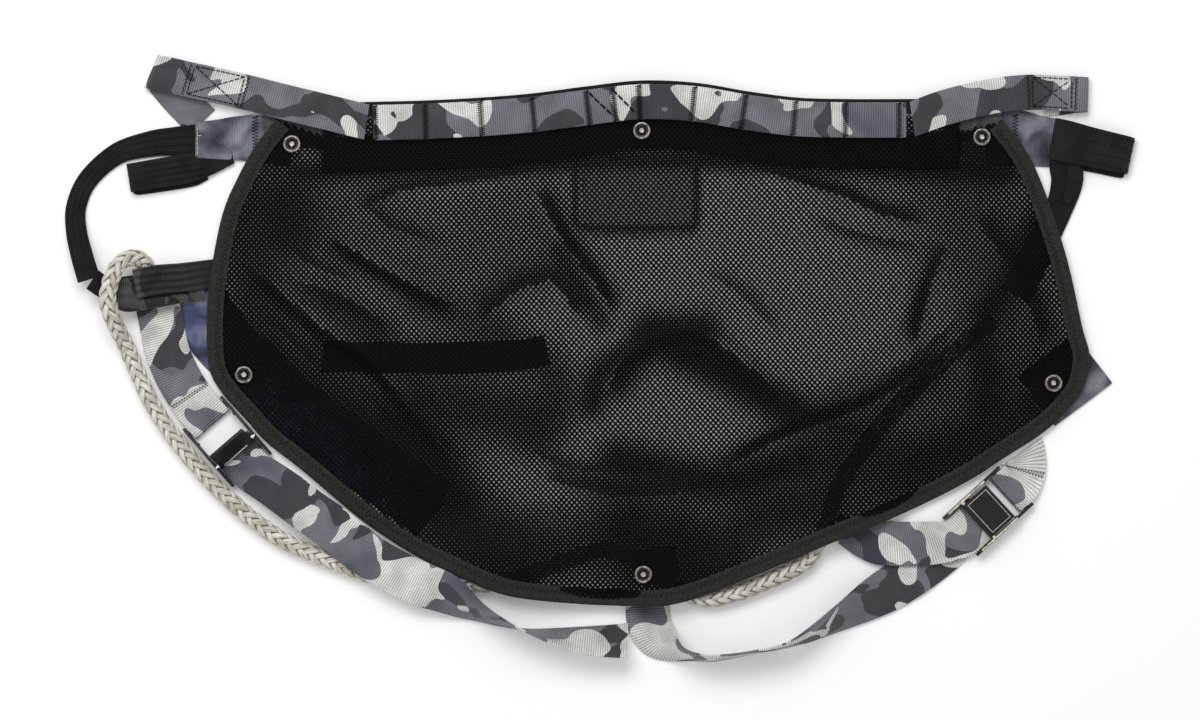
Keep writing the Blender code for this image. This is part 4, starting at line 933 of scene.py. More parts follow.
def meshOf(name, points, four, three):
    # a mesh of four-sided and three-sided faces
    mesh = bpy.data.meshes.new(name)
    mesh.vertices.add(len(points))
    mesh.vertices.foreach_set("co", points.reshape(-1).astype(np.float32))
    mesh.loops.add(four.size + three.size)
    mesh.loops.foreach_set("vertex_index", np.concatenate([four.ravel(), three.ravel()]).astype(np.int32))
    mesh.polygons.add(len(four) + len(three))
    starts = np.concatenate([np.arange(len(four)) * 4, four.size + np.arange(len(three)) * 3])
    mesh.polygons.foreach_set("loop_start", starts.astype(np.int32))
    mesh.update(calc_edges=True)
    mesh.validate()
    return mesh


def netMesh(name, loop, heightAt, holeAt, shift=(0.0, 0.0), spanX=None):
    # cells of a staggered lattice inside the loop, each with its hole, and the flat area they cover
    pitch, rowPitch = net["acrossPitch"], net["rowPitch"]
    reach = np.linalg.norm(loop - np.array(shift), axis=1).max() + 2 * pitch
    columns, rows = int(reach / pitch) + 1, int(reach / rowPitch) + 1
    row, column = np.meshgrid(np.arange(-rows, rows + 1), np.arange(-columns, columns + 1), indexing="ij")
    localX = column * pitch + (row % 2) * pitch / 2
    localY = row * rowPitch

    def turned(x, y):
        c, s = math.cos(net["turn"]), math.sin(net["turn"])
        return shift[0] + x * c - y * s, shift[1] + x * s + y * c

    x, y = turned(localX, localY)
    keep = inside(x, y, loop)
    if spanX is not None:
        keep &= (x >= spanX[0]) & (x < spanX[1])
    keep[[0, -1]] = False
    rowOf, columnOf = cell = np.nonzero(keep)
    odd = (row[cell] % 2).astype(int)
    # a cell's east, north, west and south corners, each kept by the cell that it is the east corner of
    corners = (cell, (rowOf + 1, columnOf - 1 + odd), (rowOf, columnOf - 1), (rowOf - 1, columnOf - 1 + odd))
    used = np.zeros(keep.shape, dtype=bool)
    for corner in corners:
        used[corner] = True
    shared = np.count_nonzero(used)
    order = np.full(keep.shape, -1)
    order[used] = np.arange(shared)
    east, north, west, south = (order[corner] for corner in corners)
    turns = np.arange(6) * math.pi / 3
    hole = holeAt(x[cell], y[cell])[:, None]
    holeX = (localX[cell][:, None] + hole * np.cos(turns)).ravel()
    holeY = (localY[cell][:, None] + hole * np.sin(turns)).ravel()
    placeX, placeY = turned(np.concatenate([(localX + pitch / 2)[used], holeX]),
                            np.concatenate([localY[used], holeY]))
    height = heightAt(placeX, placeY)
    half = len(height)
    points = [np.stack([placeX, placeY, height + side * net["thick"] / 2], axis=1) for side in (1, -1)]
    ring = shared + np.arange(len(rowOf) * 6).reshape(-1, 6)
    quads = ((east, north, ring[:, 1], ring[:, 0]), (north, west, ring[:, 3], ring[:, 2]),
             (west, south, ring[:, 4], ring[:, 3]), (south, east, ring[:, 0], ring[:, 5]))
    quads = np.concatenate([np.stack(quad, axis=1) for quad in quads])
    threes = ((north, ring[:, 2], ring[:, 1]), (south, ring[:, 5], ring[:, 4]))
    threes = np.concatenate([np.stack(three, axis=1) for three in threes])
    ahead = np.roll(ring, -1, axis=1)
    walls = np.stack([ring, ahead, ahead + half, ring + half], axis=-1).reshape(-1, 4)
    rims = []
    for first, second, rowStep, columnStep in ((east, north, 1, odd), (north, west, 1, odd - 1),
                                               (west, south, -1, odd - 1), (south, east, -1, odd)):
        bare = ~keep[rowOf + rowStep, columnOf + columnStep]
        rims.append(np.stack([second, first, first + half, second + half], axis=1)[bare])
    four = np.concatenate([quads, quads[:, ::-1] + half, walls] + rims)
    three = np.concatenate([threes, threes[:, ::-1] + half])
    piece = newPiece(name, meshOf(name, np.concatenate(points), four, three))
    return piece, len(rowOf) * pitch * rowPitch


def netSeat():
    rim = edgeLine + edgeIn * net["rimInset"]
    loop = np.vstack([rim, (hemLine - hemUp * net["hemOverlap"])[::-1]])
    lowest, highest = loop[:, 0].min() - net["cutMargin"], loop[:, 0].max() + net["cutMargin"]
    cuts = np.linspace(lowest, highest, net["strips"] + 1)
    middleHeight = (seatBottom + seatTop) / 2
    made = []
    for number in range(net["strips"]):
        piece, area = netMesh("netPanel%d" % (number + 1), loop, lambda x, y: seatRise(x, y) + middleHeight,
                              holeSize, spanX=(cuts[number], cuts[number + 1]))
        settle(piece, netYarn, "seat", ["seat_panel"])
        made.append(piece)
    return made


netPieces = netSeat()
print("net laid,", sum(len(p.data.polygons) for p in netPieces), "faces")

# top hem: a second layer of net, with a plain tape along its upper edge under the belt
hem = {"drop": 0.022, "above": 0.004, "lip": 0.0025, "kink": 0.0010, "rise": 0.0060, "riseSpan": 0.065,
       "crown": 30, "hole": 0.00068, "flat": (0.462, 0.039), "tapeFrom": 0.0045, "tapeShare": 0.8,
       "tapeColumns": 6}


def beltRise(x):
    return hem["rise"] * np.exp(-(((x - at(hem["crown"], 0)[0]) / hem["riseSpan"]) ** 2))


def hemHeight(x, y):
    order = np.argsort(hemLine[:, 0])
    reach = y - np.interp(x, hemLine[order, 0], hemLine[order, 1])
    kink, lip = -widths["belt"] / 2 - hem["kink"], widths["belt"] / 2 + hem["lip"]
    return hemBottom + layers["mesh"] / 2 + beltRise(x) * np.clip((reach - kink) / (lip - kink), 0.0, 1.0)


def hemPieces():
    lower = hemLine - hemUp * (widths["belt"] / 2 + hem["drop"])
    upper = hemLine + hemUp * hem["above"]
    piece, area = netMesh("hemNet", np.vstack([lower, upper[::-1]]), hemHeight,
                          lambda x, y: np.full(np.shape(x), hem["hole"]), (net["acrossPitch"] / 2, 0.0))
    settle(piece, netYarn, "seat", ["top_hem"])
    share = np.linspace(0.0, 1.0, hem["tapeColumns"])
    reach = hem["tapeFrom"] + (widths["belt"] / 2 + hem["lip"] - hem["tapeFrom"]) * share
    plan = beside(hemLine, hemUp, reach)
    points = np.dstack([plan, hemHeight(plan[:, :, 0], plan[:, :, 1])])
    tape = layGrid("hemTape", points, gridUV(lengthAlong(hemLine), reach), layers["mesh"] * hem["tapeShare"])
    settle(tape, blackWebbing, "seat")


hemPieces()

# binding tape, folded over the seat's curved edge and sewn with a zigzag
binding = {"width": 0.012, "thick": 0.0008, "fold": 0.0022, "pucker": 0.00018, "puckerLength": 0.0065,
           "tapeShare": 0.9, "roundEdge": 0.25, "stitch": 0.0034, "zigzag": (0.0062, 0.0098),
           "stitchEnd": 0.002, "thread": 0.00026, "threadLift": 0.0002}


def bindEdge():
    rise = seatRise(edgeLine[:, 0], edgeLine[:, 1])
    half = layers["mesh"] / 2 + layers["gap"] + binding["thick"] / 2
    middle = (seatBottom + seatTop) / 2
    fold = binding["fold"]
    arc = np.linspace(math.pi / 2, -math.pi / 2, 7)
    profile = [(inset, half) for inset in np.linspace(binding["width"], fold, 5)]
    profile += [(fold - (fold - binding["thick"] / 2) * math.cos(a), half * math.sin(a)) for a in arc]
    profile += [(inset, -half) for inset in np.linspace(fold, binding["width"], 5)]
    profile = np.array(profile)
    upper = (profile[None, :, 1] > 0).astype(float)
    run = lengthAlong(edgeLine)
    wave = binding["pucker"] * np.sin(2 * math.pi * run / binding["puckerLength"])[:, None]
    plan = beside(edgeLine, edgeIn, profile[None, :, 0] + wave * upper)
    height = middle + rise[:, None] + profile[None, :, 1] + np.abs(wave) * upper
    tape = layGrid("bindingTape", np.dstack([plan, height]), gridUV(run, lengthAlong(profile)),
                   binding["thick"] * binding["tapeShare"], binding["roundEdge"])
    settle(tape, tapeYarn, "seat", ["edge_binding"])
    count = 2 * int(run[-1] / binding["stitch"])
    spots = np.linspace(binding["stitchEnd"], run[-1] - binding["stitchEnd"], count)
    inset = np.where(np.arange(count) % 2, *binding["zigzag"])
    line, inward = (np.stack([np.interp(spots, run, rows[:, k]) for k in range(2)], axis=1)
                    for rows in (edgeLine, edgeIn))
    top = middle + half + binding["thick"] / 2 + binding["threadLift"] + np.interp(spots, run, rise)
    stitches = np.column_stack([line + inset[:, None] * inward, top])
    sew("bindingStitch", [stitches], binding["thread"], blackThread, "seat")


bindEdge()
print("hem and binding sewn")

# rear pocket: a patch of net under the seat, with a sewn edge
pocket = {"middle": (29, 113), "size": (0.086, 0.057), "corner": 0.012, "thick": 0.0010, "hole": 0.00110,
          "stitchInset": 0.002, "stitchStep": 0.0016, "thread": 0.00032, "threadSink": 0.0002}


def pocketLoop(inset=0.0):
    wide, tall = (size / 2 - pocket["corner"] for size in pocket["size"])
    middle = at(*pocket["middle"])
    radius = pocket["corner"] - inset
    points = []
    for corner, (sx, sy) in enumerate(((1, 1), (-1, 1), (-1, -1), (1, -1))):
        for angle in np.linspace(0.0, math.pi / 2, 7) + corner * math.pi / 2:
            points.append((middle[0] + sx * wide + radius * math.cos(angle),
                           middle[1] + sy * tall + radius * math.sin(angle)))
    return np.array(points)


def sewPocket():
    level = seatBottom - layers["gap"] - pocket["thick"] / 2
    piece, area = netMesh("pocketNet", pocketLoop(), lambda x, y: np.full(np.shape(x), level),
                          lambda x, y: np.full(np.shape(x), pocket["hole"]))
    settle(piece, netYarn, "seat", ["rear_pocket"])
    loop = pocketLoop(pocket["stitchInset"])
    loop = np.column_stack([np.vstack([loop, loop[:1]]), np.zeros(len(loop) + 1)])
    loop = even(loop, pocket["stitchStep"])
    loop[:, 2] = seatTop - pocket["threadSink"] + seatRise(loop[:, 0], loop[:, 1])
    runs = [loop[k:k + 3] for k in range(0, len(loop) - 3, 3)]
    sew("pocketStitch", runs, pocket["thread"], blackThread, "seat")


sewPocket()

# dark cloth under the seat, seen through the net, partly cloth and straps beneath and partly painted shade:
# route in plan mm and width
shadeLinings = {
    "leftShadeLining": ([(-200, -3), (-165, -3.5), (-122, -4), (-84, -3.5), (-58, -2), (-38, 2)], 0.022),
    "crotchShadeLining": ([(40, -140), (42, -152), (46, -164)], 0.028),
    "leftCorner": ([(-241, 158), (-225, 160.5), (-205, 158.5), (-190, 157)], 0.024),
    "rightCorner": ([(247, 159), (270, 163), (290, 165)], 0.022),
}
liningLay = {"depth": 0.0016, "thick": 0.0006, "step": 0.004, "columns": 7}


def layShadeLinings():
    for name, (route, width) in shadeLinings.items():
        line = even(smoothPlan(route, liningLay["step"]), liningLay["step"])
        reach = np.linspace(-width / 2, width / 2, liningLay["columns"])
        plan = beside(line, planNormals(line), reach)
        height = seatBottom - liningLay["depth"] + seatRise(plan[:, :, 0], plan[:, :, 1])
        uv = gridUV(lengthAlong(line), reach)
        piece = layGrid(name, np.dstack([plan, height]), uv, liningLay["thick"], 0.0)
        settle(piece, shadeLiningCloth, "seat")


layShadeLinings()
print("pocket and linings laid")

# straps that stay with the seat
legWidth, beltWidth = widths["leg"], widths["belt"]
thin, thickStrap = layers["webbing"], layers["bridge"]
# bars across the tabs: length along, half width, spread of the zigzag
tabTacks = {"leftTab": (0.043, 0.0158, 0.0021), "rightTab": (0.0405, 0.0165, 0.0019)}
tabStitch = {"tack": 0.0006, "thread": 0.0003, "end": 0.0015, "mark": (0.0015, 0.0075, 0.003),
             "row": (-0.0105, 0.0095, 0.0034)}


def flatStrap(points, width, side=90.0):
    return strapLine(headingRows([(x, y, low) for x, y in points], width, side), thin)


def fixedLines():
    lines = {}
    tab = [(-291, 152.8, low + 0.0037, 90, 0, 0.0255), (-276, 153.2, low + 0.0034, 90, 0, 0.0285),
           (-262, 154.2, low + 0.0014, 90, 0, 0.0315), (-246, 154, low + 0.0002, 90, 0, 0.034),
           (-223, 151.5, low, 90, 0, widths["tab"])]
    lines["leftTab"] = strapLine(tab, thin)
    tab = [(339, 149.5, low, -90, 0, 0.0345), (318, 152, low, -90, 0, 0.0365),
           (302, 154.5, low, -90, 0, 0.0395), (277, 153.5, low, -90, 0, 0.0385)]
    lines["rightTab"] = strapLine(tab, thin)
    band = [(-294, 41), (-275, 13), (-251, -12), (-230, -33), (-198, -57), (-158, -86), (-118, -114)]
    lines["leftBand"] = flatStrap(band, widths["band"])
    band = [(355, -4), (342, -14), (328, -24.5), (314, -35)]
    lines["rightBand"] = flatStrap(band, widths["band"], -90)
    loop = [(334.5, 141, 0.0031, -3, 0, 0.020), (335.5, 131, 0.0030, -6, 0, 0.0245),
            (335.5, 120, 0.0014, -14, 0, 0.0225), (330, 103, low, -25, 0, 0.020),
            (317, 77, low, -27, 0, 0.022), (299, 41, low, -27, 0, 0.024)]
    lines["rightBridge"] = strapLine(loop, thin)
    fold = [(340, 137, 0.0050, -2, 0, 0.009), (341.5, 128, 0.0049, -6, 0, 0.011),
            (340, 118, 0.0034, -16, 0, 0.010), (335, 107.5, 0.0029, -24, 0, 0.006)]
    lines["rightBridgeFold"] = strapLine(fold, thin)
    root = [(-346, 42, eyeStrap, 94, 0, 0.022), (-337, 42, eyeStrap, 92, 0, 0.025),
            (-318, 45, eyeStrap, 98, 0, 0.025), (-302, 47.5, 0.0092, 98, 0, 0.024),
            (-294, 48.6, 0.0054, 98, 0, 0.024), (-286, 49.6, 0.0027, 98, 0, 0.024)]
    lines["leftRoot"] = strapLine(root, thickStrap)
    stub = [(-364, 52.3, eyeStrap - 0.0004), (-355, 46.5, eyeStrap - 0.0005), (-342, 43, eyeStrap - 0.0014)]
    lines["leftStub"] = strapLine(headingRows(stub, widths["bridge"]), thin)
    above = (thickStrap + thin) / 2 + layers["ropeClear"]
    flap = [(-333, 49, eyeStrap + above + 0.0006), (-318, 52, eyeStrap + above + 0.0006),
            (-302, 53.5, 0.0104 + above), (-294, 54.6, 0.0060 + above), (-286, 55.8, 0.0036 + low),
            (-276, 57.2, low + 0.0014)]
    lines["leftFlap"] = strapLine(headingRows(flap, widths["flap"]), thin)
    return lines


# each fixed strap's finish, slot, the nodes it stands for and its place in the pattern
fixedKinds = {
    "leftTab": (satinWebbing, "satin_webbing", ["left_wing_tab"], 0.10),
    "rightTab": (satinWebbing, "satin_webbing", ["right_wing_tab"], 0.62),
    "leftBand": (navyWebbing, "satin_webbing", ["left_support_band"], 1.07),
    "rightBand": (satinWebbing, "satin_webbing", ["right_support_band"], 1.81),
    "rightBridge": (blackWebbing, "black_webbing", ["right_bridge_loop"], 0.3),
    "rightBridgeFold": (blackWebbing, "black_webbing", [], 0.5),
    "leftRoot": (camoShaded, "black_webbing", ["left_bridge_root"], 0.7),
    "leftStub": (blackWebbing, "black_webbing", [], 0.15),
    "leftFlap": (camoShaded, "camo_webbing", ["left_hip_flap"], 2.26),
}
pleated = {"leftRoot": (3, 0.0011), "leftFlap": (4, 0.0012)}


def fixedStraps():
    lines = fixedLines()
    for name, (finish, slotName, stands, pattern) in fixedKinds.items():
        pleats = pleated.get(name, (0, 0.0))
        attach(layStrap(name, lines[name], finish, pattern, stands, pleats), "seat")
    tacks = []
    for name, (along, half, spread) in tabTacks.items():
        tacks += barTack(lines[name], along, half, 1.0, spread)
    sew("tabTacks", tacks, tabStitch["tack"], blackThread, "seat")
    marks = stitchRow(lines["leftTab"], *tabStitch["mark"])
    marks += crossRow(lines["leftTab"], tabStitch["end"], *tabStitch["row"])
    sew("tabEndStitch", marks, tabStitch["thread"], paleThread, "seat")


fixedStraps()

# waist belt, sewn down at bars with a slight puff between them
belt = {"left": -163, "right": 220, "puff": 0.0009, "puffSpan": (0.001, 0.012), "pattern": 3.4,
        "bars": [-163.4, -125.3, -85.2, -47.5, -7.9, 11.2, 29.5, 68.1, 104.9, 141.8, 178.6, 217.2],
        "barEnd": 0.0015, "barInset": 0.0006, "barSpread": 0.0018, "barTurns": 36, "crossBar": 5,
        "crossReach": 0.017, "crossInset": 0.002, "thread": 0.00074}


def beltLine():
    left, right = at(belt["left"], 0)[0], at(belt["right"], 0)[0]
    x = np.linspace(left, right, int((right - left) / (weave["ribPitch"] / 2)))
    place = np.stack([x, np.interp(x, hemLine[:, 0], hemLine[:, 1])], axis=1)
    up = np.stack([np.interp(x, hemLine[:, 0], hemUp[:, k]) for k in range(2)], axis=1)
    slope = beltRise(x) / (beltWidth + hem["lip"] + hem["kink"])
    height = beltMiddle + slope * (beltWidth / 2 + hem["kink"])
    bars = np.array([at(b, 0)[0] for b in belt["bars"]])
    nearest = np.min(np.abs(x[:, None] - bars[None, :]), axis=1)
    height = height + belt["puff"] * ease(nearest, *belt["puffSpan"])
    across = np.column_stack([up, slope])
    across /= np.linalg.norm(across, axis=1)[:, None]
    path = np.column_stack([place, height])
    face = np.cross(np.gradient(path, axis=0), across)
    face /= np.linalg.norm(face, axis=1)[:, None]
    return {"place": path, "across": across, "face": face, "width": np.full(len(x), beltWidth),
            "run": lengthAlong(path), "thick": thin}, bars - left


def sewBelt():
    line, bars = beltLine()
    piece = layStrap("waistBelt", line, camoWebbing, belt["pattern"], ["waist_belt"])
    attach(piece, "seat")
    runs = []
    half = beltWidth / 2 - belt["barInset"]
    for spot in np.clip(bars, belt["barEnd"], line["run"][-1] - belt["barEnd"]):
        runs += barTack(line, spot, half, 1.0, belt["barSpread"], belt["barTurns"])
    middle, edge = bars[belt["crossBar"]], beltWidth / 2 - belt["crossInset"]
    for first, second in ((middle - belt["crossReach"], middle), (middle, middle + belt["crossReach"])):
        runs += stitchRow(line, first, second, (edge, -edge))
    sew("beltStitch", runs, belt["thread"], blackThread, "seat")


sewBelt()
print("belt and fixed straps sewn")

# loops that swing on the saddle, each laid where it rests
moving = {
    "leftBelt": {"body": "left_belt_loop_body", "node": "left_belt_loop", "pattern": 4.15,
                 "from": (-168, 160), "to": (-205, 172), "box": (0.093, 0.130)},
    "rightBelt": {"body": "right_belt_loop_body", "node": "right_belt_loop", "pattern": 5.02,
                  "from": (225, 162), "to": (262, 178), "box": (0.089, 0.117)},
    "leftLineman": {"body": "left_lineman_loop_body", "node": "left_lineman_loop", "pattern": 0.21,
                    "from": (-294, 131), "to": (-304, 129)},
    "rightLineman": {"body": "right_lineman_loop_body", "node": "right_lineman_loop", "pattern": 0.47,
                     "from": (342, 147), "to": (352, 145)},
}


def bendFrom(piece):
    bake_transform(piece)


def swingLoops():
    left = levelRows([
        (-167.5, 165.4, beltMiddle, 81.3), (-194, 172, beltMiddle + 0.0003, 77), (-227, 180, beltMiddle, 76),
        (-263, 189, loopTop + 0.0003, 75), (-295, 196, loopTop, 73), (-314, 200.5, loopTop, 70),
    ], beltWidth)
    left += halfTurn(-319, 201, math.radians(162), loopTop, low, 70, 62, beltWidth)
    left += levelRows([(-315, 196, low, 56), (-306, 186, low, 47), (-299.5, 179, low, 43.5),
                       (-286.5, 166, low, 43)], beltWidth)
    right = levelRows([
        (224.5, 167.6, beltMiddle, 98.8), (248, 176, beltMiddle + 0.0003, 106), (281, 184, beltMiddle, 98),
        (310, 187, loopTop, 92), (335, 186, loopTop, 89), (343, 185.6, loopTop, 88),
    ], beltWidth)
    right += halfTurn(347, 185.4, math.radians(-3), loopTop, low, 88, 89, beltWidth)
    right += levelRows([(343, 185, low, 89), (331, 183.5, low, 90), (320, 182.5, low, 90)], beltWidth)
    lines = {"leftBelt": strapLine(left, thin), "rightBelt": strapLine(right, thin)}
    rows = [(-264, 141, 0.0027, 101, 0, 0.010), (-280, 136.5, 0.0029, 101, 0, 0.017),
            (-294, 133, 0.0052, 99, 0, 0.021), (-306, 130.8, loopTop, 98.5, 0, 0.021),
            (-335, 126, loopTop, 99, 0, 0.0205)]
    rows += halfTurn(-335, 126, math.radians(-170.5), loopTop, low, 99, 99, 0.0205)
    rows += [(-335, 123.5, low, 100, 0, 0.0205), (-314, 126.5, low, 99, 0, 0.021),
             (-294, 130, low, 100, 0, 0.021), (-284, 133, low, 102, 0, 0.018)]
    lines["leftLineman"] = strapLine(rows, thin)
    rows = [(325, 154, 0.0048, 79, 0, 0.030), (335, 151.8, 0.0060, 78.5, 0, 0.030),
            (345, 149.4, 0.0072, 78, 0, 0.029), (356, 146.9, loopTop, 78, 0, 0.028),
            (378, 141.9, loopTop, 78, 0, 0.027)]
    rows += halfTurn(378, 141.9, math.radians(-12), loopTop, low, 78, 78, 0.0265)
    rows += levelRows([(378, 138.5, low, 78), (360, 142, low, 78), (344, 145, low, 78)], 0.0265)
    lines["rightLineman"] = strapLine(rows, thin)
    for name, kind in moving.items():
        finish, slotName = (camoWebbing, "camo_webbing") if "box" in kind else (blackWebbing, "black_webbing")
        strap = layStrap(name + "Loop", lines[name], finish, kind["pattern"], [kind["node"]])
        bendFrom(strap)
    return lines


loopLines = swingLoops()


def upSide(line, along):
    return 1.0 if np.interp(along, line["run"], line["face"][:, 2]) > 0 else -1.0


loopSewing = {"boxInset": 0.0022, "barOut": 0.003, "barInset": 0.0012, "barSpread": 0.0008, "barTurns": 16,
              "boxThread": 0.00042, "rows": 4, "rowInset": 0.0025, "rowSpan": (0.022, 0.066), "rowFace": 0.04,
              "rowThread": 0.0003}


def loopStitches():
    half = beltWidth / 2 - loopSewing["boxInset"]
    barHalf = beltWidth / 2 - loopSewing["barInset"]
    for name, kind in moving.items():
        line, runs = loopLines[name], []
        if "box" in kind:
            start, end = kind["box"]
            side = upSide(line, start)
            runs += boxCross(line, start, end, half, side)
            for spot in (start - loopSewing["barOut"], end + loopSewing["barOut"]):
                runs += barTack(line, spot, barHalf, side, loopSewing["barSpread"], loopSewing["barTurns"])
        else:
            reach = np.min(line["width"][len(line["width"]) // 3:]) / 2 - loopSewing["rowInset"]
            for across in np.linspace(-reach, reach, loopSewing["rows"]):
                runs += stitchRow(line, *loopSewing["rowSpan"], across, upSide(line, loopSewing["rowFace"]))
        radius = loopSewing["boxThread" if "box" in kind else "rowThread"]
        bendFrom(sew(name + "Stitch", runs, radius, blackThread))


loopStitches()

# left bridge loop: widths along its route, and the shares of its width where it is sewn
bridge = {"widths": (0.0235, 0.0235, 0.0205, 0.0185, 0.0155, 0.0145, 0.0145, 0.0150, 0.0160, 0.0165),
          "pattern": 0.9, "from": (-290, 152), "to": (-313, 151.5), "body": "left_bridge_loop_body",
          "rows": (-0.38, -0.13, 0.13, 0.38), "sewFrom": 0.012, "sewEnd": 0.004, "step": 0.0037, "face": 0.05,
          "thread": 0.0003}


def bridgeLoop():
    base = thickStrap / 2
    route = [
        (-281, 152.3, base), (-291, 152.3, base), (-308, 151.8, base), (-324, 150, base), (-347.5, 143, base),
        (-368, 125, base), (-376.8, 105.5, base + 0.0005), (-376.6, 88, 0.0045), (-372, 70, 0.0112),
        (-366.5, 52.5, eyeStrap),
    ]
    line = strapLine(headingRows(route, bridge["widths"], -90), thickStrap)
    strap = layStrap("leftBridgeLoop", line, blackWebbing, bridge["pattern"],
                     ["left_bridge_loop"])
    bendFrom(strap)
    side = upSide(line, bridge["face"])
    runs = []
    for share in bridge["rows"]:
        for first in np.arange(bridge["sewFrom"], line["run"][-1] - bridge["sewEnd"], bridge["step"]):
            spots = np.linspace(first, first + thread["stitch"], 3)
            runs.append(onStrap(line, spots, share * np.interp(spots, line["run"], line["width"]), side))
    bendFrom(sew("leftBridgeStitch", runs, bridge["thread"], blackThread))


bridgeLoop()
print("loops hung")

# leg loops: strap round the buckle's bars; a buckle's side has its place, heading, hand and lever lift
buckle = {
    "length": 0.055, "rail": 0.0018, "sideGap": 0.0009, "top": 0.0106, "foot": 0.0006, "barLength": 0.004,
    "barInset": 0.0035, "foldClear": 0.0011, "lead": 0.0078, "gripBar": 0.0095, "pinRise": 0.0052,
    "cam": 0.0025, "reach": 0.021, "plate": 0.002, "leverGap": 0.0015, "anchorReturn": 0.006,
    "dipSpan": (0.012, 0.026), "dip": 0.34, "railCuts": 5, "barOut": 0.0009,
    "left": ((-253.9, -51.7), -49.0, -1, 62.0), "right": ((266.3, -100.2), -137.4, 1, 4.0),
}
topBar = -buckle["length"] / 2 + buckle["barLength"] / 2 + buckle["barInset"]
topFold = topBar + buckle["barLength"] / 2 + buckle["foldClear"]
gripTurn = buckle["gripBar"] - buckle["barLength"] / 2 - buckle["foldClear"]


def bucklePlace(name):
    (x, y), heading, side, _ = buckle[name]
    reach = side * (legWidth / 2 + buckle["sideGap"] + buckle["rail"]) / mm
    way = math.radians(heading)
    return (x - reach * math.sin(way), y + reach * math.cos(way)), heading


def bucklePoint(name, length):
    (x, y), heading = bucklePlace(name)
    way = math.radians(heading)
    return x + length / mm * math.cos(way), y + length / mm * math.sin(way)


def buckleRows(name, places, height, turn):
    return levelRows([(*bucklePoint(name, place), height, turn) for place in places], legWidth)


def anchorRows(name, turn):
    heading = math.radians(bucklePlace(name)[1])
    rows = buckleRows(name, (topBar - buckle["lead"], topBar), overBar, turn)
    rows += halfTurn(*bucklePoint(name, topFold), heading, overBar, low, turn, turn, legWidth)
    return rows + buckleRows(name, (topBar, topBar - buckle["anchorReturn"]), low, turn)


def gripRows(name, turn):
    heading = math.radians(bucklePlace(name)[1]) + math.pi
    places = (buckle["length"] / 2, buckle["gripBar"])
    rows = buckleRows(name, places, low, turn)
    rows += halfTurn(*bucklePoint(name, gripTurn), heading, low, overBar, turn, turn, legWidth)
    return rows + buckleRows(name, places[::-1], overBar, turn)


def legLines():
    turn = bucklePlace("left")[1] + 90
    lines = {}
    rows = levelRows([(-318.5, 35, aboveBand, 13), (-316, 24, aboveBand, 14), (-311, 0, aboveBand, 16),
                      (-301, -22, aboveBand + 0.0008, 27)], legWidth)
    lines["leftAnchor"] = strapLine(rows + anchorRows("left", turn), thin)
    rows = levelRows([(-222, -104, low, 46), (-238, -93, low, 44)], legWidth) + gripRows("left", turn)
    rows += levelRows([(-232, -97, 0.0078, 46), (-212, -111.5, 0.0115, 50), (-191, -126, overRope, 53),
                       (-163, -148, overRope, 56)], legWidth)
    rows += [
        (-131, -165, overRope, 62, 3, legWidth), (-109, -173.5, overRope, 64, 25, legWidth),
        (-89, -185, 0.0155, 64, 60, legWidth), (-69, -194, 0.0170, 68, 79, legWidth),
        (-50, -200, 0.0171, 74, 92, legWidth), (-17, -206, 0.0147, 83, 121, legWidth),
        (13, -207, 0.0124, 88, 135, legWidth), (20, -206.4, 0.0119, 89, 138, legWidth),
    ]
    lines["leftLeg"] = strapLine(rows, thin)
    turn = bucklePlace("right")[1] - 90
    rows = [(304.6, -71, low, -145, 0, 1.05 * legWidth), (304.5, -85, 0.0024, -195, 0, legWidth)]
    lines["rightAnchor"] = strapLine(rows + anchorRows("right", turn), thin)
    turn += 360
    rows = [
        (34, -176, low, 2, 0, legWidth), (35.5, -195, low, 8, 0, legWidth),
        (42, -207, 0.0062, 32, 25, legWidth), (51, -213.5, 0.0135, 58, 55, legWidth),
        (63, -217.4, 0.0166, 84, 75, legWidth), (83, -219, 0.0170, 93, 80, legWidth),
        (113, -214.2, 0.0172, 100, 84, legWidth), (139, -208, 0.0170, 108, 78, legWidth),
        (173, -190, 0.0140, 118, 52, legWidth), (194, -178, 0.0088, 121, 27, legWidth),
    ]
    rows += levelRows([(215, -166, low + 0.0004, 123), (237, -151, low, 128)], legWidth)
    rows += gripRows("right", turn)
    rows += levelRows([(245, -136, 0.0050, 115), (230, -137.5, 0.0044, 100), (214, -137.5, 0.0040, 94),
                       (198, -136.5, 0.0037, 92)], legWidth)
    rows += [(184, -132.8, 0.0035, 92, 0, 0.0275), (171, -126.8, 0.0035, 94, 0, 0.0215)]
    lines["rightLeg"] = strapLine(rows, thin)
    return lines


# each leg strap's body, the nodes it stands for, its place in the pattern, and where it bends from and to
legEnds = {
    "leftAnchor": ("left_leg_loop_body", ["left_anchor_strap"], 6.31, (-316, 24), (-311, -4)),
    "leftLeg": ("left_leg_loop_body", ["left_leg_strap"], 7.12, (13, -207), (-40, -202)),
    "rightAnchor": ("right_leg_loop_body", ["right_anchor_strap"], 8.43, (305, -70), (300, -88)),
    "rightLeg": ("right_leg_loop_body", ["crotch_tab", "right_leg_strap"], 9.05, (56, -215), (96, -217)),
}
legSewing = {"bars": {"leftAnchor": [(-294, -30)], "rightAnchor": [(300, -84), (289, -100)]}, "inset": 0.001,
             "thread": 0.00042, "bendHeight": 0.01}


def hangLegs():
    lines = legLines()
    for name, (body, stands, pattern, start, end) in legEnds.items():
        line = lines[name]
        strap = layStrap(name + "Strap", line, camoPale, pattern, stands)
        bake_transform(strap)
        runs = []
        for spot in legSewing["bars"].get(name, ()):
            along = runNear(line, *spot)
            runs += barTack(line, along, legWidth / 2 - legSewing["inset"], upSide(line, along))
        if runs:
            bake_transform(sew(name + "Stitch", runs, legSewing["thread"], blackThread))


hangLegs()
print("leg straps hung")


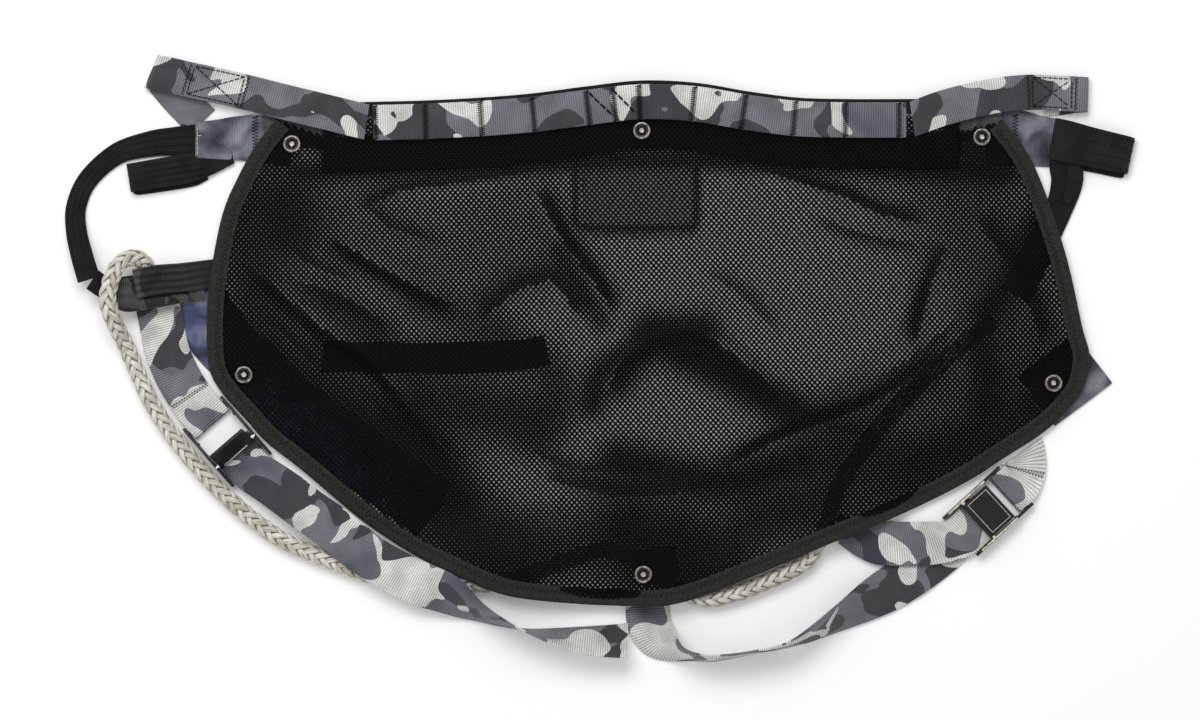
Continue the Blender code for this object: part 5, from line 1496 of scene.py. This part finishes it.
# cam buckles, with the rounding of each block's edges
rounding = {"rail": 0.0005, "lug": 0.0003, "bar": 0.0007, "edge": 0.0002, "plate": 0.0007, "lip": 0.0003,
            "rim": 0.0001, "rootBarHighlight": 0.0002}


def localBox(name, lowCorner, highCorner, cuts=0):
    # a block between two corners, its edges rounded
    deselect()
    bpy.ops.mesh.primitive_cube_add(size=1.0)
    piece = bpy.context.object
    piece.name = name
    piece.scale = [high - least for least, high in zip(lowCorner, highCorner)]
    piece.location = [(least + high) / 2 for least, high in zip(lowCorner, highCorner)]
    bpy.ops.object.transform_apply(location=True, rotation=True, scale=True)
    if cuts:
        bpy.ops.object.mode_set(mode="EDIT")
        bpy.ops.mesh.select_all(action="SELECT")
        bpy.ops.mesh.subdivide(number_cuts=cuts)
        bpy.ops.object.mode_set(mode="OBJECT")
    soften(piece, rounding[name])
    return piece


def localRod(name, radius, length, place):
    # a round bar across the buckle
    deselect()
    bpy.ops.mesh.primitive_cylinder_add(vertices=28, radius=radius, depth=length, location=place,
                                        rotation=(math.pi / 2, 0.0, 0.0))
    piece = bpy.context.object
    piece.name = name
    bpy.ops.object.transform_apply(location=True, rotation=True, scale=True)
    soften(piece, 0.15 * radius)
    return piece


def sideBox(name, sign, spanX, spanY, spanZ, cuts=0):
    # a block on one side of the buckle's middle line
    near, far = sorted(sign * value for value in spanY)
    return localBox(name, (spanX[0], near, spanZ[0]), (spanX[1], far, spanZ[1]), cuts)


def weld(parts, name, matrix):
    # parts become one solid and go to their place
    for part in parts:
        applyModifiers(part)
    first = parts[0]
    for part in parts[1:]:
        join = first.modifiers.new("join", "BOOLEAN")
        join.operation = "UNION"
        join.object = part
        join.solver = "EXACT"
    applyModifiers(first)
    for part in parts[1:]:
        bpy.data.objects.remove(part, do_unlink=True)
    first.name = name
    first.data.name = name
    first.data.transform(matrix)
    useObject(first)
    bpy.ops.object.shade_smooth_by_angle(angle=math.radians(40))
    return first


# small parts of the buckle in its own lengths, m
lug = {"places": (-0.012, 0.018), "half": 0.0011, "inner": 0.0009, "outer": 0.0006,
       "height": (0.0046, 0.0064)}
edgeStrip = {"span": (-0.0125, 0.0225), "inset": 0.0002, "sink": 0.0004, "stand": 0.0003}
lip = {"depth": 0.0005, "front": 0.0016, "frontStand": 0.0006, "wide": 0.0015, "end": -0.001, "stand": 0.0005}
# the bright steel line round the right lever, partly a raised rim and partly a painted highlight on its
# bevelled edge, and the bright bar at the left one's root, partly the metal pin strip and partly a painted
# highlight on the bar's edge
leverRimHighlight = {"sideInset": (0.0022, 0.0026), "front": 0.0024, "end": -0.0015, "crossInset": 0.0021,
            "crossFront": 0.0022, "crossEnd": -0.0018, "width": 0.0004, "sink": 0.0004, "stand": 0.0003}
rootBarHighlight = {"span": (-0.0006, 0.0007), "inset": (0.003, 0.006), "sink": 0.0006, "stand": 0.0004}
bothSides = (-1, 1)
window = legWidth / 2 + buckle["sideGap"]


def buckleFrame(side, place):
    half, outer = buckle["length"] / 2, window + buckle["rail"]
    body = side + "_leg_loop_body"
    parts = []
    for sign in bothSides:
        rail = sideBox("rail", sign, (-half, half), (window, outer), (buckle["foot"], buckle["top"]),
                       buckle["railCuts"])
        for vert in rail.data.vertices:
            dip = buckle["dip"] * ease(abs(vert.co.x - buckle["gripBar"]), *buckle["dipSpan"])
            vert.co.z = buckle["foot"] + (vert.co.z - buckle["foot"]) * (1.0 - dip)
        parts.append(rail)
        for spot in lug["places"]:
            parts.append(sideBox("lug", sign, (spot - lug["half"], spot + lug["half"]),
                                 (window - lug["inner"], window + lug["outer"]), lug["height"]))
    reach = window + buckle["barOut"]
    for spot in (topBar, buckle["gripBar"]):
        parts.append(localBox("bar", (spot - buckle["barLength"] / 2, -reach, barBottom),
                              (spot + buckle["barLength"] / 2, reach, barTop)))
    settle(weld(parts, side + "Frame", place), blackPaint, body, [side + "_buckle_frame"])
    if side == "right":
        for sign in bothSides:
            edge = sideBox("edge", sign, edgeStrip["span"],
                           (window + edgeStrip["inset"], outer - edgeStrip["inset"]),
                           (buckle["top"] - edgeStrip["sink"], buckle["top"] + edgeStrip["stand"]))
            strip = weld([edge], side + "FrameEdge%d" % (sign + 2), place)
            settle(strip, wornBrass, body)


def leverRimHighlights(side, wide):
    reach, cam = buckle["reach"], buckle["cam"]
    if side == "left":
        return [localBox("rootBarHighlight", (rootBarHighlight["span"][0], -wide + rootBarHighlight["inset"][0], cam - rootBarHighlight["sink"]),
                         (rootBarHighlight["span"][1], wide - rootBarHighlight["inset"][1], cam + rootBarHighlight["stand"]))]
    heights = (cam - leverRimHighlight["sink"], cam + leverRimHighlight["stand"])
    spanX = (-reach + leverRimHighlight["front"], leverRimHighlight["end"])
    spanY = [wide - inset for inset in leverRimHighlight["sideInset"]]
    rims = [sideBox("rim", sign, spanX, spanY, heights) for sign in bothSides]
    across = wide - leverRimHighlight["crossInset"]
    for spot in (-reach + leverRimHighlight["crossFront"], leverRimHighlight["crossEnd"]):
        rims.append(localBox("rim", (spot, -across, heights[0]),
                             (spot + leverRimHighlight["width"], across, heights[1])))
    return rims


def buckleLever(side, place):
    body = side + "_cam_lever_body"
    axle = place @ Matrix.Translation((buckle["gripBar"], 0.0, barTop + buckle["pinRise"]))
    tilted = axle @ Matrix.Rotation(math.radians(buckle[side][3]), 4, "Y")
    wide = window - buckle["leverGap"]
    reach, cam = buckle["reach"], buckle["cam"]
    parts = [localBox("plate", (-reach, -wide, cam - buckle["plate"]), (0.0, wide, cam)),
             localRod("cam", cam, 2 * wide, (0.0, 0.0, 0.0)),
             localBox("lip", (-reach, -wide, cam - lip["depth"]),
                      (-reach + lip["front"], wide, cam + lip["frontStand"]))]
    for sign in bothSides:
        parts.append(sideBox("lip", sign, (-reach, lip["end"]), (wide - lip["wide"], wide),
                             (cam - lip["depth"], cam + lip["stand"])))
    settle(weld(parts, side + "Lever", tilted), blackPaint, body, [side + "_cam_lever"])
    # bright steel lines on the lever, partly a painted highlight
    settle(weld(leverRimHighlights(side, wide), side + "LeverRimHighlight", tilted), plainSteel, body)


def buildBuckle(side):
    middle, heading = bucklePlace(side)
    place = Matrix.Translation(Vector(at(*middle))) @ Matrix.Rotation(math.radians(heading), 4, "Z")
    buckleFrame(side, place)
    buckleLever(side, place)
    pin = nodes[side + "_pivot_pin"]
    pin.data.materials.clear()
    pin.data.materials.append(plainSteel)


for side in ("left", "right"):
    buildBuckle(side)
print("buckles built")

# snap fasteners
snap = {"radius": 0.0065, "height": 0.0021, "hole": 0.0027, "post": 0.0022, "capRadius": 0.0060, "steps": 40,
        "shadeThick": 0.0001, "postRise": 0.6, "weld": 0.000005}


def spinPiece(name, profile, place):
    # a half outline turned round its axis
    mesh = bpy.data.meshes.new(name)
    points = [(radius, 0.0, height) for radius, height in profile]
    mesh.from_pydata(points, [(k, k + 1) for k in range(len(points) - 1)], [])
    piece = newPiece(name, mesh)
    useObject(piece)
    bpy.ops.object.mode_set(mode="EDIT")
    bpy.ops.mesh.select_all(action="SELECT")
    bpy.ops.mesh.spin(steps=snap["steps"], angle=2 * math.pi, center=(0.0, 0.0, 0.0), axis=(0.0, 0.0, 1.0))
    bpy.ops.mesh.select_all(action="SELECT")
    bpy.ops.mesh.remove_doubles(threshold=snap["weld"])
    bpy.ops.mesh.normals_make_consistent(inside=False)
    bpy.ops.object.mode_set(mode="OBJECT")
    mesh.transform(Matrix.Translation(Vector(place)))
    bpy.ops.object.shade_smooth_by_angle(angle=math.radians(42))
    return piece


def setSnaps():
    r, h, hole = snap["radius"], snap["height"], snap["hole"]
    p, c, capTop = snap["post"], snap["capRadius"], layers["cap"]
    ring = [(hole, 0.0), (r - 0.0005, 0.0), (r - 0.0001, 0.25 * h), (r, 0.45 * h), (0.97 * r, 0.7 * h),
            (0.90 * r, 0.92 * h), (0.82 * r, h), (0.75 * r, 0.96 * h), (0.70 * r, 0.80 * h),
            (0.66 * r, 0.42 * h), (0.56 * r, 0.34 * h), (0.50 * r, 0.40 * h), (hole, 0.62 * h), (hole, 0.0)]
    shade = [(0.46 * r, 0.66 * h), (0.52 * r, 0.44 * h), (0.60 * r, 0.44 * h), (0.66 * r, 0.50 * h)]
    shade += [(radius, height - snap["shadeThick"]) for radius, height in reversed(shade)] + shade[:1]
    for name, spot in snapPlaces.items():
        x, y, _ = at(*spot)
        rise = float(seatRise([x], [y])[0])
        base = (hemTop if name == "top_middle" else seatTop + rise) + layers["gap"]
        socket = spinPiece("socket_" + name, ring, (x, y, base))
        settle(socket, agedNickel, "seat", ["snap_socket_" + name])
        washer = spinPiece("socketShade_" + name, shade, (x, y, base))
        settle(washer, blackPaint, "seat")
        back = seatBottom + rise - layers["gap"] - capTop
        tall = base - back + snap["postRise"] * h
        stud = [(0.0, 0.0), (0.8 * c, 0.0), (0.95 * c, 0.0002), (c, 0.0005), (c, capTop), (p, capTop),
                (p, tall - 0.0008), (0.92 * p, tall - 0.0003), (0.70 * p, tall), (0.55 * p, tall - 0.0001),
                (0.38 * p, tall - 0.0006), (0.0, tall - 0.0007)]
        cap = spinPiece("stud_" + name, stud, (x, y, back))
        settle(cap, paleNickel, "seat", ["snap_cap_" + name])


setSnaps()
print("snaps set")
